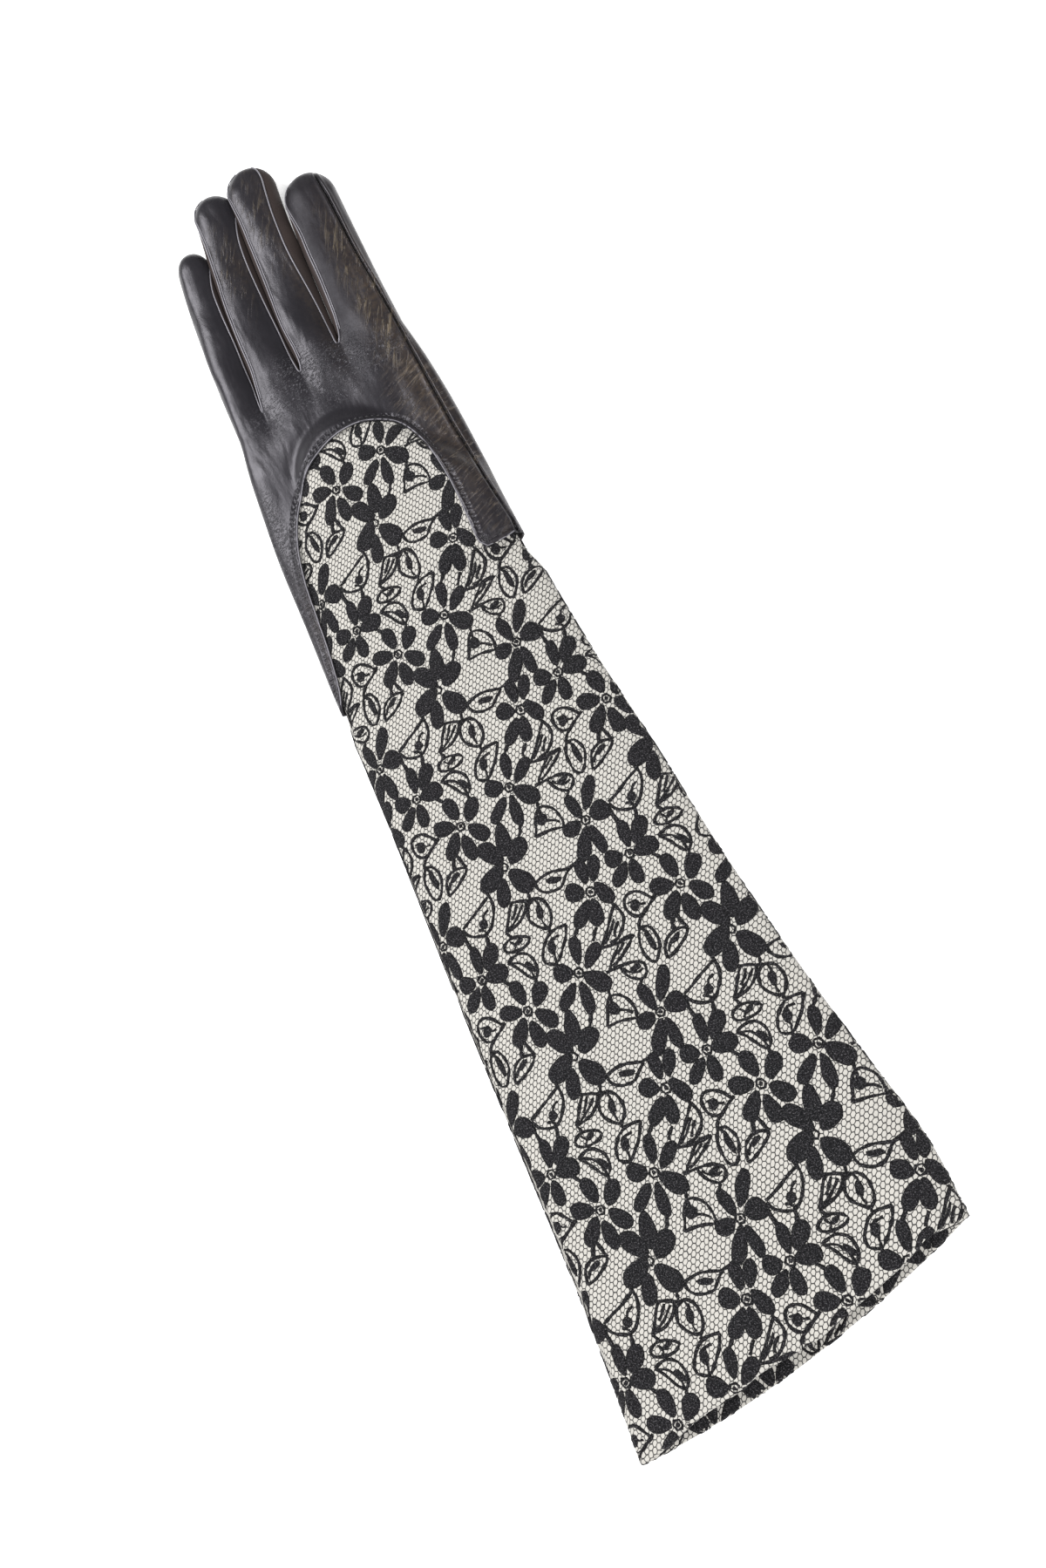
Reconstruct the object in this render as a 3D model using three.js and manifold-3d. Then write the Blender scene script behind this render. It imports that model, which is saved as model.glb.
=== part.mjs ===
// A long left-hand dress glove lying flat on its palm: a black leather hand and a flaring lace cloth sleeve.
// Millimetres. +X runs across the glove towards the index side, +Y towards the fingertips, +Z up.
// The tables are laid out from the middle of the sleeve's mouth; the whole glove is centred at the end.
import * as THREE from 'three';
import { mergeVertices } from 'three/addons/utils/BufferGeometryUtils.js';
import Module from 'manifold-3d';

const wasm = await Module();
wasm.setup();

const LEATHER_WALL = 1.2;
const CLOTH_WALL = 1.2;
const HEM_WALL = 2.2;
const HEM_WIDTH = 15;
const GAP = 0.3;
const SIDE_WALL_FACTOR = 1.6;
const TOP_Z = 60;
const UNDER_Z = -10;

// Lines across the glove from the mouth to the crotches of the fingers: where each meets the left and the
// right fold, and how high the glove stands along it.
const LINES = [
  { s: 0, leftX: -69.1, leftY: -14.5, rightX: 69.1, rightY: 14.5, height: 10.5 },
  { s: 35, leftX: -65.9, leftY: 25, rightX: 68.0, rightY: 45, height: 10.5 },
  { s: 75, leftX: -63.9, leftY: 69, rightX: 61.2, rightY: 81, height: 10.5 },
  { s: 120, leftX: -62.6, leftY: 117.5, rightX: 54.0, rightY: 122.5, height: 10.5 },
  { s: 170, leftX: -60.7, leftY: 170, rightX: 47.6, rightY: 170, height: 10.8 },
  { s: 215, leftX: -58.4, leftY: 215, rightX: 43.0, rightY: 215, height: 11.2 },
  { s: 250, leftX: -57.2, leftY: 250, rightX: 38.6, rightY: 250, height: 11.8 },
  { s: 280, leftX: -57.0, leftY: 280, rightX: 35.8, rightY: 280, height: 12.4 },
  { s: 310, leftX: -55.9, leftY: 310, rightX: 33.9, rightY: 310, height: 12.8 },
  { s: 340, leftX: -54.9, leftY: 340, rightX: 33.0, rightY: 340, height: 12.8 },
  { s: 370, leftX: -52.3, leftY: 370, rightX: 31.6, rightY: 370, height: 12.8 },
  { s: 392, leftX: -50.2, leftY: 386, rightX: 28.8, rightY: 398, height: 12.6 },
  { s: 407, leftX: -49.2, leftY: 396, rightX: 26.6, rightY: 413, height: 12 },
];
const MOUTH_BOW = 5.8;
const MOUTH_BOW_REACH = 140;
const MOUTH_SETBACK = 4.6;
const MOUTH_SETBACK_REACH = 60;
const HAND_END = 406;
const HAND_END_ROUNDING = 16;
const TUBE_SIDES = 26;
const FINGER_SIDES = 14;
const WRIST_LINES = [250, 257, 264, 271, 278, 285, 292];
const HAND_LINES = [302, 313, 324, 335, 346, 357, 369, 381];
const SLEEVE_ROUNDNESS = 2.6;
const HAND_ROUNDNESS = 4.5;

// Humps of the upper layer along the mouth: place across (-1 left, 1 right), rise and how far it draws back.
const MOUTH_HUMPS = [
  { across: -0.62, spread: 0.16, rise: 2.0, drawBack: 1.4 },
  { across: -0.25, spread: 0.14, rise: 2.6, drawBack: 1.4 },
  { across: 0.1, spread: 0.1, rise: -1.6, drawBack: -1.0 },
  { across: 0.34, spread: 0.12, rise: -1.2, drawBack: -0.4 },
  { across: 0.8, spread: 0.13, rise: 3.6, drawBack: 3.6 },
];

// Each finger: its root inside the hand, a bending point and its tip, widths at root and near the tip,
// thickness, roll (left side up is positive) and the length over which the tip rounds off.
const FINGERS = {
  little: {
    rootX: -42.4, rootY: 380, bendX: -42.2, bendY: 446, tipX: -37.0, tipY: 473.6,
    rootWidth: 15.2, tipWidth: 13.2, thick: 10.5, roll: 9, rounding: 13,
  },
  ring: {
    rootX: -26.2, rootY: 388, bendX: -26.4, bendY: 458, tipX: -19.6, tipY: 491.2,
    rootWidth: 19.0, tipWidth: 16.2, thick: 11.5, roll: 9, rounding: 14,
  },
  middle: {
    rootX: -7.6, rootY: 390, bendX: -7.4, bendY: 458, tipX: -2.6, tipY: 494.6,
    rootWidth: 18.8, tipWidth: 19.6, thick: 11.5, roll: 8, rounding: 14,
  },
  index: {
    rootX: 15.2, rootY: 391, bendX: 14.8, bendY: 440, tipX: 16.2, tipY: 480.6,
    rootWidth: 24.6, tipWidth: 20.6, thick: 12, roll: -3, rounding: 12,
  },
};

// Side strips between the fingers: where each strip's two seams meet under the crotch, a point in the clear
// beyond the tips, and the share of the half width at which a seam runs on the left and the right finger,
// along the finger and at its tip.
const FOURCHETTES = {
  little_ring: {
    meetX: -35.2, meetY: 388, clearX: -37, clearY: 492,
    leftShare: 0.66, leftTip: 1, rightShare: 0.84, rightTip: 1,
  },
  ring_middle: {
    meetX: -16.6, meetY: 397, clearX: -12.6, clearY: 500,
    leftShare: 0.7, leftTip: 1, rightShare: 0.86, rightTip: 1,
  },
  middle_index: {
    meetX: 2.6, meetY: 401, clearX: 8.5, clearY: 498,
    leftShare: 0.46, leftTip: 0.55, rightShare: 0.8, rightTip: 1,
  },
};
const CROTCH_TO_MEET = 6;
const FOURCHETTE_NAMES = {
  little_ring: 'fourchette_ring_little',
  ring_middle: 'fourchette_middle_ring',
  middle_index: 'fourchette_index_middle',
};

// The arch cut out of the back, from its tail at the little-finger side round to the index side tab.
const ARCH = [
  [-57.0, 274], [-53.4, 282], [-51.0, 297], [-49.6, 311], [-47.6, 328], [-42.6, 346], [-32.4, 361],
  [-18.0, 370], [-3.0, 371.4], [9.0, 366.6], [15.6, 354], [18.2, 337], [18.4, 320], [18.0, 309],
];
const TAB_HEM = [[18.4, 306.4], [20.4, 304.4], [23, 304.6], [30.4, 306.2]];
const PALM_HEM_LEFT = [-57.0, 274];
const PALM_HEM_RIGHT = [34.2, 302.2];
const SEAM_LAP = 6;

// The long seam of the index side, from beyond the tip of the index finger down to the hem of the tab.
const INDEX_SEAM = [
  [21.4, 482], [22.7, 466], [23.1, 446], [25.2, 405], [27.2, 355], [28.5, 312], [29.4, 292],
];
const SEAM_WIDTH = 0.5;

const THUMB = {
  rootX: 18, rootY: 316, tipX: -19, tipY: 367,
  rootWidth: 24, tipWidth: 20, height: 4, swell: 2.3, wall: 1, rounding: 11,
};
const THUMB_HOLE = { along: 0.27, length: 30, width: 15 };
const LIFT_MARGIN = 5;
const LIFT_FALL = 9;

const leather = new THREE.MeshStandardMaterial({ color: 0x2b292c, roughness: 0.42, metalness: 0 });
const sideLeather = new THREE.MeshStandardMaterial({ color: 0x2e2826, roughness: 0.5, metalness: 0 });
const laceCloth = new THREE.MeshStandardMaterial({ color: 0x8f8b82, roughness: 0.9, metalness: 0 });

const lerp = (a, b, t) => a + (b - a) * t;
const clamp01 = (t) => Math.min(1, Math.max(0, t));
const ease = (t) => clamp01(t) * clamp01(t) * (3 - 2 * clamp01(t));
const bell = (t) => Math.exp(-t * t);
const sharpen = (value, power) => Math.sign(value) * Math.abs(value) ** power;

// A smooth curve through one column of a table.
function column(rows, name) {
  const last = rows.length - 1;
  const slopes = rows.map((row, i) => {
    const before = rows[Math.max(i - 1, 0)];
    const after = rows[Math.min(i + 1, last)];
    return (after[name] - before[name]) / (after.s - before.s);
  });
  return (s) => {
    let i = 0;
    while (i < last - 1 && s > rows[i + 1].s) i += 1;
    const span = rows[i + 1].s - rows[i].s;
    const t = clamp01((s - rows[i].s) / span);
    const rise = rows[i + 1][name] - rows[i][name];
    const bendIn = slopes[i] * span - rise;
    const bendOut = rise - slopes[i + 1] * span;
    return lerp(rows[i][name], rows[i + 1][name], t) + t * (1 - t) * ((1 - t) * bendIn + t * bendOut);
  };
}

const line = {
  leftX: column(LINES, 'leftX'),
  leftY: column(LINES, 'leftY'),
  rightX: column(LINES, 'rightX'),
  rightY: column(LINES, 'rightY'),
  height: column(LINES, 'height'),
};

// How far the hand is lifted over the folded thumb: full over the thumb, easing out to nothing round it.
function thumbLift(x, y) {
  const dx = THUMB.tipX - THUMB.rootX;
  const dy = THUMB.tipY - THUMB.rootY;
  const end = THUMB.tipWidth / 2 / Math.hypot(dx, dy);
  const along = ((x - THUMB.rootX) * dx + (y - THUMB.rootY) * dy) / (dx * dx + dy * dy);
  const share = Math.min(1 - end, Math.max(end, along));
  const away = Math.hypot(x - THUMB.rootX - share * dx, y - THUMB.rootY - share * dy);
  const reach = lerp(THUMB.rootWidth, THUMB.tipWidth, share) / 2 + LIFT_MARGIN;
  return (THUMB.height + GAP) * ease((reach + LIFT_FALL - away) / LIFT_FALL);
}

// A point of the flattened tube that the sleeve and the hand share. s is the line across, across goes from
// the left fold (-1) to the right one (1), layer is 1 on top and -1 underneath, and inset moves the point in
// from the outer face. The under side is flat where it lies.
function tubePoint(s, across, layer, inset) {
  const roundness = lerp(SLEEVE_ROUNDNESS, HAND_ROUNDNESS, ease((s - 290) / 90));
  const up = layer * (1 - Math.abs(across) ** roundness) ** (1 / roundness);
  const [leftX, leftY, rightX, rightY] = [line.leftX(s), line.leftY(s), line.rightX(s), line.rightY(s)];
  const halfWidth = (rightX - leftX) / 2 - inset * SIDE_WALL_FACTOR;
  const nearMouth = clamp01(1 - s / MOUTH_SETBACK_REACH);
  const bow = MOUTH_BOW * clamp01(1 - s / MOUTH_BOW_REACH) ** 2;
  const x = (leftX + rightX) / 2 + halfWidth * across;
  let y = (leftY + rightY) / 2 + ((rightY - leftY) / 2) * across - bow * (1 - across * across);
  y += Math.min(s, 0);
  let half = line.height(s) / 2;
  if (up > 0) {
    y += MOUTH_SETBACK * up * nearMouth * nearMouth * (1 - across ** 4);
    for (const hump of MOUTH_HUMPS) {
      const share = bell((across - hump.across) / hump.spread) * nearMouth;
      half += (hump.rise / 2) * share;
      y += hump.drawBack * share * nearMouth * up;
    }
  }
  half *= Math.sqrt(clamp01((HAND_END + 1 - s) / HAND_END_ROUNDING));
  const middle = (line.height(s) / 2) * 0.94;
  const z = middle + (half - inset * Math.sign(half)) * up * (up > 0 ? 1 : 1.12);
  return [x, y, Math.max(z, Math.min(inset, middle)) + thumbLift(x, y)];
}

// Height half way between the two layers.
const middleHeight = (x, y) => (line.height(y) / 2) * 0.94 + thumbLift(x, y);

// A closed solid from rings of points, with a fan over each end.
function loft(rings) {
  const around = rings[0].length;
  const points = rings.flat(2);
  const faces = [];
  const centre = (ring) => [0, 1, 2].map((k) => ring.reduce((sum, p) => sum + p[k], 0) / around);
  const start = rings.length * around;
  points.push(...centre(rings[0]), ...centre(rings[rings.length - 1]));
  for (let j = 0; j < around; j += 1) {
    const k = (j + 1) % around;
    for (let i = 0; i < rings.length - 1; i += 1) {
      const [a, b, c, d] = [i * around + j, i * around + k, (i + 1) * around + k, (i + 1) * around + j];
      faces.push(a, b, c, a, c, d);
    }
    const top = (rings.length - 1) * around;
    faces.push(start, k, j, start + 1, top + j, top + k);
  }
  return solid(points, faces);
}

function solid(points, faces) {
  const build = (triVerts) => new wasm.Manifold(new wasm.Mesh({
    numProp: 3, vertProperties: new Float32Array(points), triVerts: new Uint32Array(triVerts),
  }));
  const made = build(faces);
  if (made.volume() > 0) return made;
  const turned = faces.map((_, i) => faces[i - (i % 3) + [0, 2, 1][i % 3]]);
  return build(turned);
}

// The places of a ring's points, across and layer, packed closer towards the folds.
const TUBE_RING = [1, -1].flatMap((layer) => Array.from({ length: TUBE_SIDES / 2 }, (_, j) => {
  return [layer * Math.cos((2 * Math.PI * j) / TUBE_SIDES), layer];
}));

const angles = (count) => Array.from({ length: count }, (_, j) => (2 * Math.PI * j) / count);
const steps = (from, to, count) => Array.from({ length: count + 1 }, (_, i) => lerp(from, to, i / count));

// A solid that runs straight up from a plan outline.
function prism(outline, low = UNDER_Z, high = TOP_Z) {
  const shape = new THREE.Shape(outline.map(([x, y]) => new THREE.Vector2(x, y)));
  const geometry = new THREE.ExtrudeGeometry(shape, { depth: high - low, bevelEnabled: false });
  geometry.translate(0, 0, low);
  geometry.deleteAttribute('normal');
  geometry.deleteAttribute('uv');
  const merged = mergeVertices(geometry);
  return solid(Array.from(merged.attributes.position.array), Array.from(merged.index.array));
}

// The space over or under the middle height of the hand; the two share a thin layer, so that cuts made with
// either meet.
function halfSpace(upper) {
  const shared = upper ? -0.05 : 0.05;
  const across = steps(-90, 80, 14);
  const along = steps(235, 420, 14);
  const far = upper ? TOP_Z : UNDER_Z;
  const points = [];
  const faces = [];
  for (const y of along) for (const x of across) points.push(x, y, middleHeight(x, y) + shared);
  for (const y of along) for (const x of across) points.push(x, y, far);
  const nx = across.length;
  const layer = nx * along.length;
  const quad = (a, b, c, d) => faces.push(a, b, c, a, c, d);
  for (let j = 0; j < along.length - 1; j += 1) {
    for (let i = 0; i < nx - 1; i += 1) {
      const a = j * nx + i;
      quad(a, a + nx, a + nx + 1, a + 1);
      quad(layer + a, layer + a + 1, layer + a + nx + 1, layer + a + nx);
    }
  }
  const rim = [];
  for (let i = 0; i < nx - 1; i += 1) rim.push(i);
  for (let j = 0; j < along.length - 1; j += 1) rim.push(j * nx + nx - 1);
  for (let i = nx - 1; i > 0; i -= 1) rim.push(layer - nx + i);
  for (let j = along.length - 1; j > 0; j -= 1) rim.push(j * nx);
  rim.forEach((a, k) => {
    const b = rim[(k + 1) % rim.length];
    quad(a, b, layer + b, layer + a);
  });
  return solid(points, faces);
}

const spline = (points, count) => new THREE.SplineCurve(points.map(([x, y]) => new THREE.Vector2(x, y)))
  .getPoints(count).map((p) => [p.x, p.y]);

// Moves an open outline sideways, to its left as it runs.
function shifted(points, distance) {
  return points.map(([x, y], i) => {
    const before = points[Math.max(i - 1, 0)];
    const after = points[Math.min(i + 1, points.length - 1)];
    const length = Math.hypot(after[0] - before[0], after[1] - before[1]);
    const [dx, dy] = [(after[0] - before[0]) / length, (after[1] - before[1]) / length];
    return [x - distance * dy, y + distance * dx];
  });
}

// The middle line of a finger at t, from root to tip, with its direction to the right.
function fingerAxis(finger, t) {
  const bezier = (a, b, c) => (1 - t) ** 2 * a + 2 * t * (1 - t) * b + t * t * c;
  const slope = (a, b, c) => 2 * (1 - t) * (b - a) + 2 * t * (c - b);
  const dx = slope(finger.rootX, finger.bendX, finger.tipX);
  const dy = slope(finger.rootY, finger.bendY, finger.tipY);
  const length = Math.hypot(dx, dy);
  return {
    x: bezier(finger.rootX, finger.bendX, finger.tipX),
    y: bezier(finger.rootY, finger.bendY, finger.tipY),
    right: [dy / length, -dx / length],
  };
}

// How much of the full section is left at t, where the tip rounds off over its last stretch.
function tipShare(finger, t, inset) {
  const length = finger.tipY - finger.rootY;
  const left = (1 - t) * length - inset;
  const into = clamp01((finger.rounding - left) / finger.rounding);
  return Math.sqrt(Math.max(1 - into * into, 0.0025));
}

// A finger is sunk into the hand at its root, so that it grows out of it.
const grown = (t) => ease(t / 0.3);
const fingerWidth = (finger, t) => lerp(finger.rootWidth, finger.tipWidth, t) * lerp(0.95, 1, grown(t));

function fingerSolid(finger, inset) {
  const length = finger.tipY - finger.rootY;
  const rounded = finger.rounding / length;
  const end = 1 - inset / length;
  const stations = steps(0, end - rounded, 6);
  for (const share of [0.4, 0.7, 0.9, 1]) stations.push(end - rounded * (1 - share));
  const rings = stations.map((t) => {
    const axis = fingerAxis(finger, t);
    const share = tipShare(finger, t, inset);
    const roll = THREE.MathUtils.degToRad(finger.roll) * grown(t);
    const a = (fingerWidth(finger, t) / 2 - inset * 1.25) * share;
    const b = ((finger.thick / 2) * lerp(0.93, 1, grown(t)) - inset) * share ** 0.8;
    const lying = (finger.thick / 2) * 0.95 + (finger.rootWidth / 2) * Math.abs(Math.sin(roll)) * 0.5;
    return angles(FINGER_SIDES).map((angle) => {
      const across = sharpen(Math.cos(angle), 2 / 2.3) * a;
      const up = sharpen(Math.sin(angle), 2 / 2.3) * b;
      const side = across * Math.cos(roll) + up * Math.sin(roll);
      const z = lying - across * Math.sin(roll) + up * Math.cos(roll);
      return [axis.x + axis.right[0] * side, axis.y + axis.right[1] * side, Math.max(z, inset)];
    });
  });
  return loft(rings);
}

function handSolid(inset) {
  const lines = [...WRIST_LINES, ...HAND_LINES, 392, 397, 401, 404, HAND_END - inset];
  return loft(lines.map((s) => TUBE_RING.map(([across, layer]) => tubePoint(s, across, layer, inset))));
}

function handShell() {
  let outer = handSolid(0);
  let inner = handSolid(LEATHER_WALL);
  for (const finger of Object.values(FINGERS)) {
    outer = outer.add(fingerSolid(finger, 0));
    inner = inner.add(fingerSolid(finger, LEATHER_WALL));
  }
  return outer.subtract(inner);
}

// The seam that a side strip shares with the finger, narrowing to nothing at the fingertip.
function stripSeam(finger, side, share, tip, crotchY, extra) {
  const roll = Math.cos(THREE.MathUtils.degToRad(finger.roll));
  const start = ((crotchY - finger.rootY) / (finger.tipY - finger.rootY)) * 0.82;
  return steps(start, 0.94, 8).map((t) => {
    const axis = fingerAxis(finger, t);
    const atCrotch = lerp(0.88, share, ease((t - start) / 0.45));
    const part = lerp(atCrotch, tip, ease((t - 0.66) / 0.28));
    const half = (fingerWidth(finger, t) / 2) * tipShare(finger, t, 0);
    const out = side * (half * part * roll - extra);
    return [axis.x + axis.right[0] * out, axis.y + axis.right[1] * out];
  });
}

function stripOutline(gap, leftFinger, rightFinger, extra) {
  const crotchY = gap.meetY + CROTCH_TO_MEET;
  const left = stripSeam(leftFinger, 1, gap.leftShare, gap.leftTip, crotchY, extra);
  const right = stripSeam(rightFinger, -1, gap.rightShare, gap.rightTip, crotchY, extra).reverse();
  return [[gap.meetX, gap.meetY - extra], ...left, [gap.clearX, gap.clearY], ...right];
}

function thumbSolid(inset) {
  const length = Math.hypot(THUMB.tipX - THUMB.rootX, THUMB.tipY - THUMB.rootY);
  const along = [(THUMB.tipX - THUMB.rootX) / length, (THUMB.tipY - THUMB.rootY) / length];
  const ends = THUMB.rounding;
  const rounding = [0, 0.1, 0.3, 0.6].map((share) => inset + (ends - inset) * share);
  const tip = rounding.map((d) => length - d).reverse();
  const places = [...rounding, ...steps(ends, length - ends, 3), ...tip];
  return loft(places.map((d) => {
    const fromEnd = Math.min(d, length - d) - inset;
    const into = clamp01((ends - inset - fromEnd) / (ends - inset));
    const share = Math.sqrt(Math.max(1 - into * into, 0.01));
    const a = (lerp(THUMB.rootWidth, THUMB.tipWidth, d / length) / 2 - inset * 1.3) * share;
    return angles(FINGER_SIDES).map((angle) => {
      const side = sharpen(Math.cos(angle), 2 / 2.6) * a;
      const up = sharpen(Math.sin(angle), 2 / 2.6) * (THUMB.swell - inset) * share ** 0.6;
      const z = Math.min(Math.max(THUMB.height / 2 + up, inset), THUMB.height - inset);
      return [THUMB.rootX + along[0] * d + along[1] * side, THUMB.rootY + along[1] * d - along[0] * side, z];
    });
  }));
}

function thumbHoleOutline(extra) {
  const dx = THUMB.tipX - THUMB.rootX;
  const dy = THUMB.tipY - THUMB.rootY;
  const length = Math.hypot(dx, dy);
  const [cx, cy] = [THUMB.rootX + dx * THUMB_HOLE.along, THUMB.rootY + dy * THUMB_HOLE.along];
  return angles(16).map((angle) => {
    const along = Math.sin(angle) * (THUMB_HOLE.length / 2 + extra);
    const side = Math.cos(angle) * (THUMB_HOLE.width / 2 + extra);
    return [cx + (dx * along + dy * side) / length, cy + (dy * along - dx * side) / length];
  });
}

// The cloth lies one leather wall and a gap further in where the leather laps over it, which begins higher
// up at the index side (across 1) than at the little finger side (across -1).
const clothInset = (s, across) => (LEATHER_WALL + GAP) * ease((s - lerp(260, 288, (across + 1) / 2)) / 13);

function clothSolid(wall) {
  const mouth = wall ? [-8, 0] : [0];
  const hem = [...mouth, 6, HEM_WIDTH, HEM_WIDTH + 1.5];
  const lines = [...hem, ...steps(30, 235, 7), ...WRIST_LINES, ...HAND_LINES];
  return loft(lines.map((s) => {
    const thick = s <= HEM_WIDTH && wall ? HEM_WALL : wall;
    return TUBE_RING.map(([across, layer]) => tubePoint(s, across, layer, clothInset(s, across) + thick));
  }));
}

const upperSpace = halfSpace(true);
const lowerSpace = halfSpace(false);
const archCurve = spline(ARCH, 24);

// Everything of the back below the arch, the tab and the tail of the leather, and of the palm below its hem.
const backOpening = prism([
  [-95, 262], [-95, 274], ...archCurve, ...TAB_HEM, [50, 303.6], [50, 240], [-95, 240],
]);
const palmOpening = prism([[-95, 272], PALM_HEM_LEFT, PALM_HEM_RIGHT, [60, 304], [60, 240], [-95, 240]]);

function handTrank() {
  let trank = handShell();
  for (const [key, gap] of Object.entries(FOURCHETTES)) {
    const [left, right] = key.split('_').map((name) => FINGERS[name]);
    trank = trank.subtract(prism(stripOutline(gap, left, right, GAP)));
  }
  const seam = spline(INDEX_SEAM, 14);
  const slit = prism([...shifted(seam, SEAM_WIDTH / 2), ...shifted(seam, -SEAM_WIDTH / 2).reverse()], 7);
  return trank.subtract(upperSpace.intersect(backOpening)).subtract(lowerSpace.intersect(palmOpening))
    .subtract(slit).subtract(lowerSpace.intersect(prism(thumbHoleOutline(0))));
}

function fourchette(key) {
  const gap = FOURCHETTES[key];
  const [left, right] = key.split('_').map((name) => FINGERS[name]);
  return handShell().intersect(prism(stripOutline(gap, left, right, 0)));
}

function thumb() {
  return thumbSolid(0).subtract(thumbSolid(THUMB.wall))
    .subtract(prism(thumbHoleOutline(0), THUMB.height / 2, TOP_Z));
}

function sleeve() {
  const tube = clothSolid(0).subtract(clothSolid(CLOTH_WALL));
  const lap = shifted(archCurve, SEAM_LAP);
  const [leftX, rightX] = [PALM_HEM_LEFT[0], PALM_HEM_RIGHT[0]];
  const [leftLap, rightLap] = [PALM_HEM_LEFT[1] + SEAM_LAP, PALM_HEM_RIGHT[1] + SEAM_LAP];
  const wrist = prism([
    [-95, -60], [95, -60], [95, rightLap], [rightX, rightLap], [leftX, leftLap], [-95, leftLap],
  ]);
  const tongue = prism([[-95, 262], [-95, 280], ...lap, [30, 314], [60, 312], [60, 262]]);
  return tube.intersect(wrist.add(upperSpace.intersect(tongue)));
}

function meshOf(made, name, material) {
  const { vertProperties, triVerts } = largest(made).getMesh();
  const geometry = new THREE.BufferGeometry();
  geometry.setAttribute('position', new THREE.BufferAttribute(new Float32Array(vertProperties), 3));
  geometry.setIndex(Array.from(triVerts));
  geometry.computeVertexNormals();
  const mesh = new THREE.Mesh(geometry, material);
  mesh.name = name;
  return mesh;
}

// Grazing cuts can leave crumbs beside a piece; only the piece itself is kept.
const largest = (made) => made.decompose().sort((a, b) => b.volume() - a.volume())[0];

const glove = new THREE.Group();
glove.add(meshOf(handTrank(), 'hand_trank', leather));
for (const [key, name] of Object.entries(FOURCHETTE_NAMES)) {
  glove.add(meshOf(fourchette(key), name, sideLeather));
}
glove.add(meshOf(thumb(), 'thumb', leather));
glove.add(meshOf(sleeve(), 'sleeve', laceCloth));

const box = new THREE.Box3().setFromObject(glove);
glove.position.set(-(box.min.x + box.max.x) / 2, -(box.min.y + box.max.y) / 2, -box.min.z);

export default glove;
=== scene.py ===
import bpy
import numpy as np
from mathutils import Matrix, Vector


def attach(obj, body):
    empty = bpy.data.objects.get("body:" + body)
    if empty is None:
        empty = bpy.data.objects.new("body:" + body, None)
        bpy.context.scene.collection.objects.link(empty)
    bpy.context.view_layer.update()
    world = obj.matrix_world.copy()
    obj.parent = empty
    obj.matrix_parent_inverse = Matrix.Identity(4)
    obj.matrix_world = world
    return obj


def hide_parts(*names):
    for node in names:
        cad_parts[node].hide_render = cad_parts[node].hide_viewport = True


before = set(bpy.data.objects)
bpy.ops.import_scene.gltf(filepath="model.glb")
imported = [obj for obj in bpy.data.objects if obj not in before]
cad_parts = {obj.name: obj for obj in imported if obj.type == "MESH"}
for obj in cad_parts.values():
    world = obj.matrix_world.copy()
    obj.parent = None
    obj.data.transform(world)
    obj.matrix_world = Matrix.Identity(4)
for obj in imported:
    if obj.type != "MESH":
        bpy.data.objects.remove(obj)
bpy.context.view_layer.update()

# ---- Camera, floor and light -----------------------------------------------------------------------
# A 50 mm view from straight above, leaning 16 degrees, over a plain white table under two soft lights.
# The tables below are in millimetres from the middle of the sleeve's mouth, as in the CAD source.

MM = 0.001
ORIGIN = np.array([0.0, 240.082, 0.0])
CAMERA_AT = np.array([83.0365, 19.1773, 769.7785])
CAMERA_RIGHT = np.array([0.887141, -0.410362, -0.211150])
CAMERA_UP = np.array([0.447610, 0.876501, 0.177176])
CAMERA_LENS, SENSOR_HEIGHT = 50.0, 36.0
CLIP_NEAR, CLIP_FAR = 0.01, 20.0


def at(point):
    """A point of the tables, in metres of the shared frame."""
    return Vector(((np.asarray(point, float) - ORIGIN) * MM).tolist())


camera = bpy.data.objects.new("camera", bpy.data.cameras.new("camera"))
bpy.context.scene.collection.objects.link(camera)
camera.data.lens = CAMERA_LENS
camera.data.sensor_fit = "VERTICAL"
camera.data.sensor_height = SENSOR_HEIGHT
camera.data.clip_start, camera.data.clip_end = CLIP_NEAR, CLIP_FAR
turn = np.stack([CAMERA_RIGHT, CAMERA_UP, np.cross(CAMERA_RIGHT, CAMERA_UP)], axis=1)
camera.matrix_world = Matrix.Translation(at(CAMERA_AT)) @ Matrix(turn.tolist()).to_4x4()
bpy.context.scene.camera = camera

FLOOR_SIZE, FLOOR_DROP = 6.0, 0.0002
FLOOR_WHITE = (0.92, 0.92, 0.92, 1)
LIGHTS = [
    {"name": "key_light", "at": (-0.80, 0.72, 0.98), "to": (0, 0.1, 0), "size": 0.8, "power": 27},
    {"name": "top_light", "at": (0.35, -1.0, 1.35), "to": (0, 0.0, 0), "size": 1.1, "power": 36},
]
WORLD_STRENGTH = 0.18
FLOOR_GLOW = 0.45


def add_node(tree, kind, inputs=(), **settings):
    """A shader node with its settings; each input is a value or another node's output."""
    node = tree.nodes.new("ShaderNode" + kind)
    for name, value in settings.items():
        setattr(node, name, value)
    for key, value in dict(inputs).items():
        socket = node.inputs[key]
        if isinstance(value, bpy.types.NodeSocket):
            tree.links.new(value, socket)
        else:
            socket.default_value = value
    return node


def calc(tree, operation, *values):
    """The number that a Math node gives."""
    return add_node(tree, "Math", dict(enumerate(values)), operation=operation).outputs[0]


def vector_calc(tree, operation, *values):
    """The vector that a VectorMath node gives, or the number for a length or a dot product."""
    node = add_node(tree, "VectorMath", dict(enumerate(values)), operation=operation)
    return node.outputs["Value" if operation in ("LENGTH", "DOT_PRODUCT") else 0]


def noise(tree, place, scale, detail, **more):
    """The level of a noise at a place."""
    inputs = {"Vector": place, "Scale": scale, "Detail": detail, **more}
    return add_node(tree, "TexNoise", inputs).outputs["Fac"]


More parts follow.
